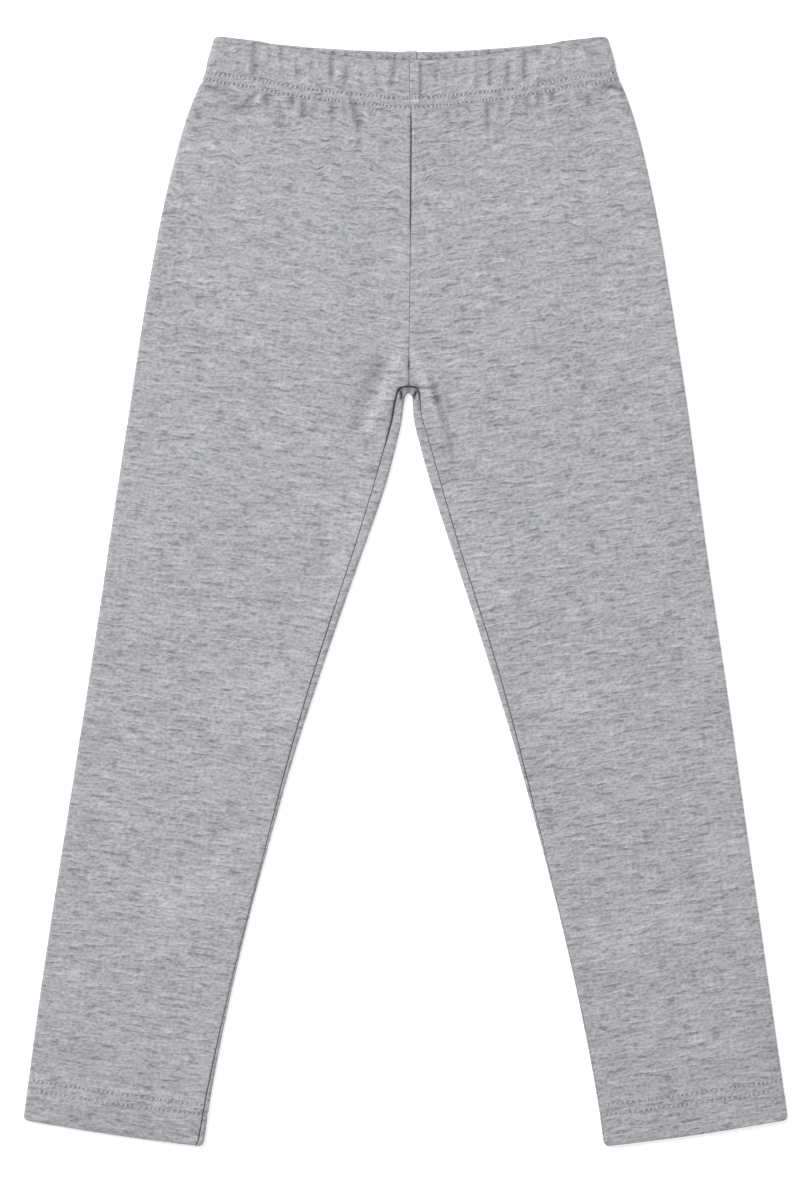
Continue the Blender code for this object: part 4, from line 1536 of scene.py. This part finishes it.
class LeggingsSizes(bpy.types.PropertyGroup):
    """Sizes of the cloth and its sewing"""

    ply: length_property("Cloth", "Thickness of one layer of jersey", 0.00088)
    seam_roll: length_property("Seam Roll", "Radius at which a seam's edges turn in", 0.0008)
    nap: length_property("Nap", "Height of the raised fibres", 0.0016)
    stitch_pitch: length_property("Stitch Pitch", "From one stitch to the next", 0.00248)
    stitch_height: length_property("Stitch Height", "Length of one upright stitch", 0.0025)
    thread: length_property("Thread", "Thickness of the bulked sewing thread", 0.0011)


class LeggingsColours(bpy.types.PropertyGroup):
    """Colours of the cloth, thread and floor"""

    marl_light: colour_property("Light Fibres", "Undyed fibres in the marl", (0.560, 0.566, 0.597))
    marl_dark: colour_property("Dark Fibres", "Dark fibres in the marl", (0.242, 0.245, 0.258))
    marl_hole: colour_property("Holes", "Shade in the needle holes", (0.15, 0.152, 0.160))
    thread: colour_property("Thread", "Sewing thread", (0.53, 0.536, 0.56))
    floor: colour_property("Floor", "Floor of the stage", (0.98, 0.98, 0.98))
    marl_contrast: bpy.props.FloatProperty(
        name="Marl Contrast", description="Strength of the light and dark fibres", default=0.96,
        min=0.0, max=2.0, subtype="FACTOR",
    )


class LEGGINGS_OT_cloth(bpy.types.Operator):
    """Build the two legs, each one sheet of jersey with its casing and hem"""

    bl_idname = "leggings.cloth"
    bl_label = "Cloth"

    def execute(self, context):
        sizes, colours = context.scene.leggings_sizes, context.scene.leggings_colours
        material = jersey(sizes, colours)
        for leg in LEGS:
            piece = leg_sheet(leg, sizes, material)
            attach(piece, "root")
            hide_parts(f"leg_{leg.name}", f"waistband_{leg.name}")
        return {"FINISHED"}


class LEGGINGS_OT_stitching(bpy.types.Operator):
    """Sew the twin needle rows of the casing and the hems"""

    bl_idname = "leggings.stitching"
    bl_label = "Stitching"

    def execute(self, context):
        sizes, colours = context.scene.leggings_sizes, context.scene.leggings_colours
        material = sewing_thread(sizes, colours)
        for leg in LEGS:
            pieces = [
                stitching(f"casing_stitching_{leg.name}", casing_rows(leg, sizes), sizes, material),
                stitching(f"hem_stitching_{leg.name}", hem_rows(leg, sizes), sizes, material),
            ]
            for piece in pieces:
                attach(piece, "root")
        return {"FINISHED"}


def lay_floor(context):
    bpy.ops.object.select_all(action="DESELECT")
    bpy.ops.mesh.primitive_plane_add(size=FLOOR_SIZE, location=(0, 0, -FLOOR_BELOW))
    floor = context.object
    floor.name = "floor"
    floor.data.materials.append(light_table(context.scene.leggings_colours.floor))


def light_room(context):
    """Even light from all round, and a soft window high up to one side."""
    room = bpy.data.worlds.new("soft_room")
    room.use_nodes = True
    background = room.node_tree.nodes["Background"].inputs
    background["Color"].default_value = (1, 1, 1, 1)
    background["Strength"].default_value = ROOM_LIGHT
    context.scene.world = room
    aim = Vector(WINDOW_AT).to_track_quat("Z", "Y").to_euler()
    bpy.ops.object.light_add(type="AREA", location=WINDOW_AT, rotation=aim)
    window = context.object
    window.name = "soft_window"
    window.data.size = WINDOW_SIZE
    window.data.energy = WINDOW_POWER


def hang_camera(context):
    """A camera that looks straight down."""
    height = CLOTH_TOP + CAMERA_VIEW * CAMERA_LENS / SENSOR
    bpy.ops.object.camera_add(location=(*CAMERA_AT, height), rotation=(0, 0, 0))
    camera = context.object
    camera.name = "camera"
    camera.data.lens = CAMERA_LENS
    camera.data.sensor_width = SENSOR
    context.scene.camera = camera


class LEGGINGS_OT_stage(bpy.types.Operator):
    """Set the floor, the soft light and the camera straight above"""

    bl_idname = "leggings.stage"
    bl_label = "Stage"

    def execute(self, context):
        context.scene.view_settings.view_transform = "Standard"
        lay_floor(context)
        light_room(context)
        hang_camera(context)
        return {"FINISHED"}


class LEGGINGS_PT_build(bpy.types.Panel):
    """Sizes, colours and the steps of the build"""

    bl_idname = "LEGGINGS_PT_build"
    bl_label = "Leggings"
    bl_space_type = "VIEW_3D"
    bl_region_type = "UI"
    bl_category = "Leggings"

    def draw(self, context):
        for group in (context.scene.leggings_sizes, context.scene.leggings_colours):
            column = self.layout.column()
            for name in group.__annotations__:
                column.prop(group, name)
        for operator in OPERATORS:
            self.layout.operator(operator.bl_idname)


OPERATORS = (LEGGINGS_OT_cloth, LEGGINGS_OT_stitching, LEGGINGS_OT_stage)
CLASSES = (LeggingsSizes, LeggingsColours, *OPERATORS, LEGGINGS_PT_build)


def register():
    for cls in CLASSES:
        bpy.utils.register_class(cls)
    bpy.types.Scene.leggings_sizes = bpy.props.PointerProperty(type=LeggingsSizes)
    bpy.types.Scene.leggings_colours = bpy.props.PointerProperty(type=LeggingsColours)


def unregister():
    del bpy.types.Scene.leggings_colours
    del bpy.types.Scene.leggings_sizes
    for cls in reversed(CLASSES):
        bpy.utils.unregister_class(cls)


def main():
    register()
    bpy.ops.leggings.cloth()
    bpy.ops.leggings.stitching()
    bpy.ops.leggings.stage()
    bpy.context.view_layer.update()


if __name__ == "__main__":
    main()
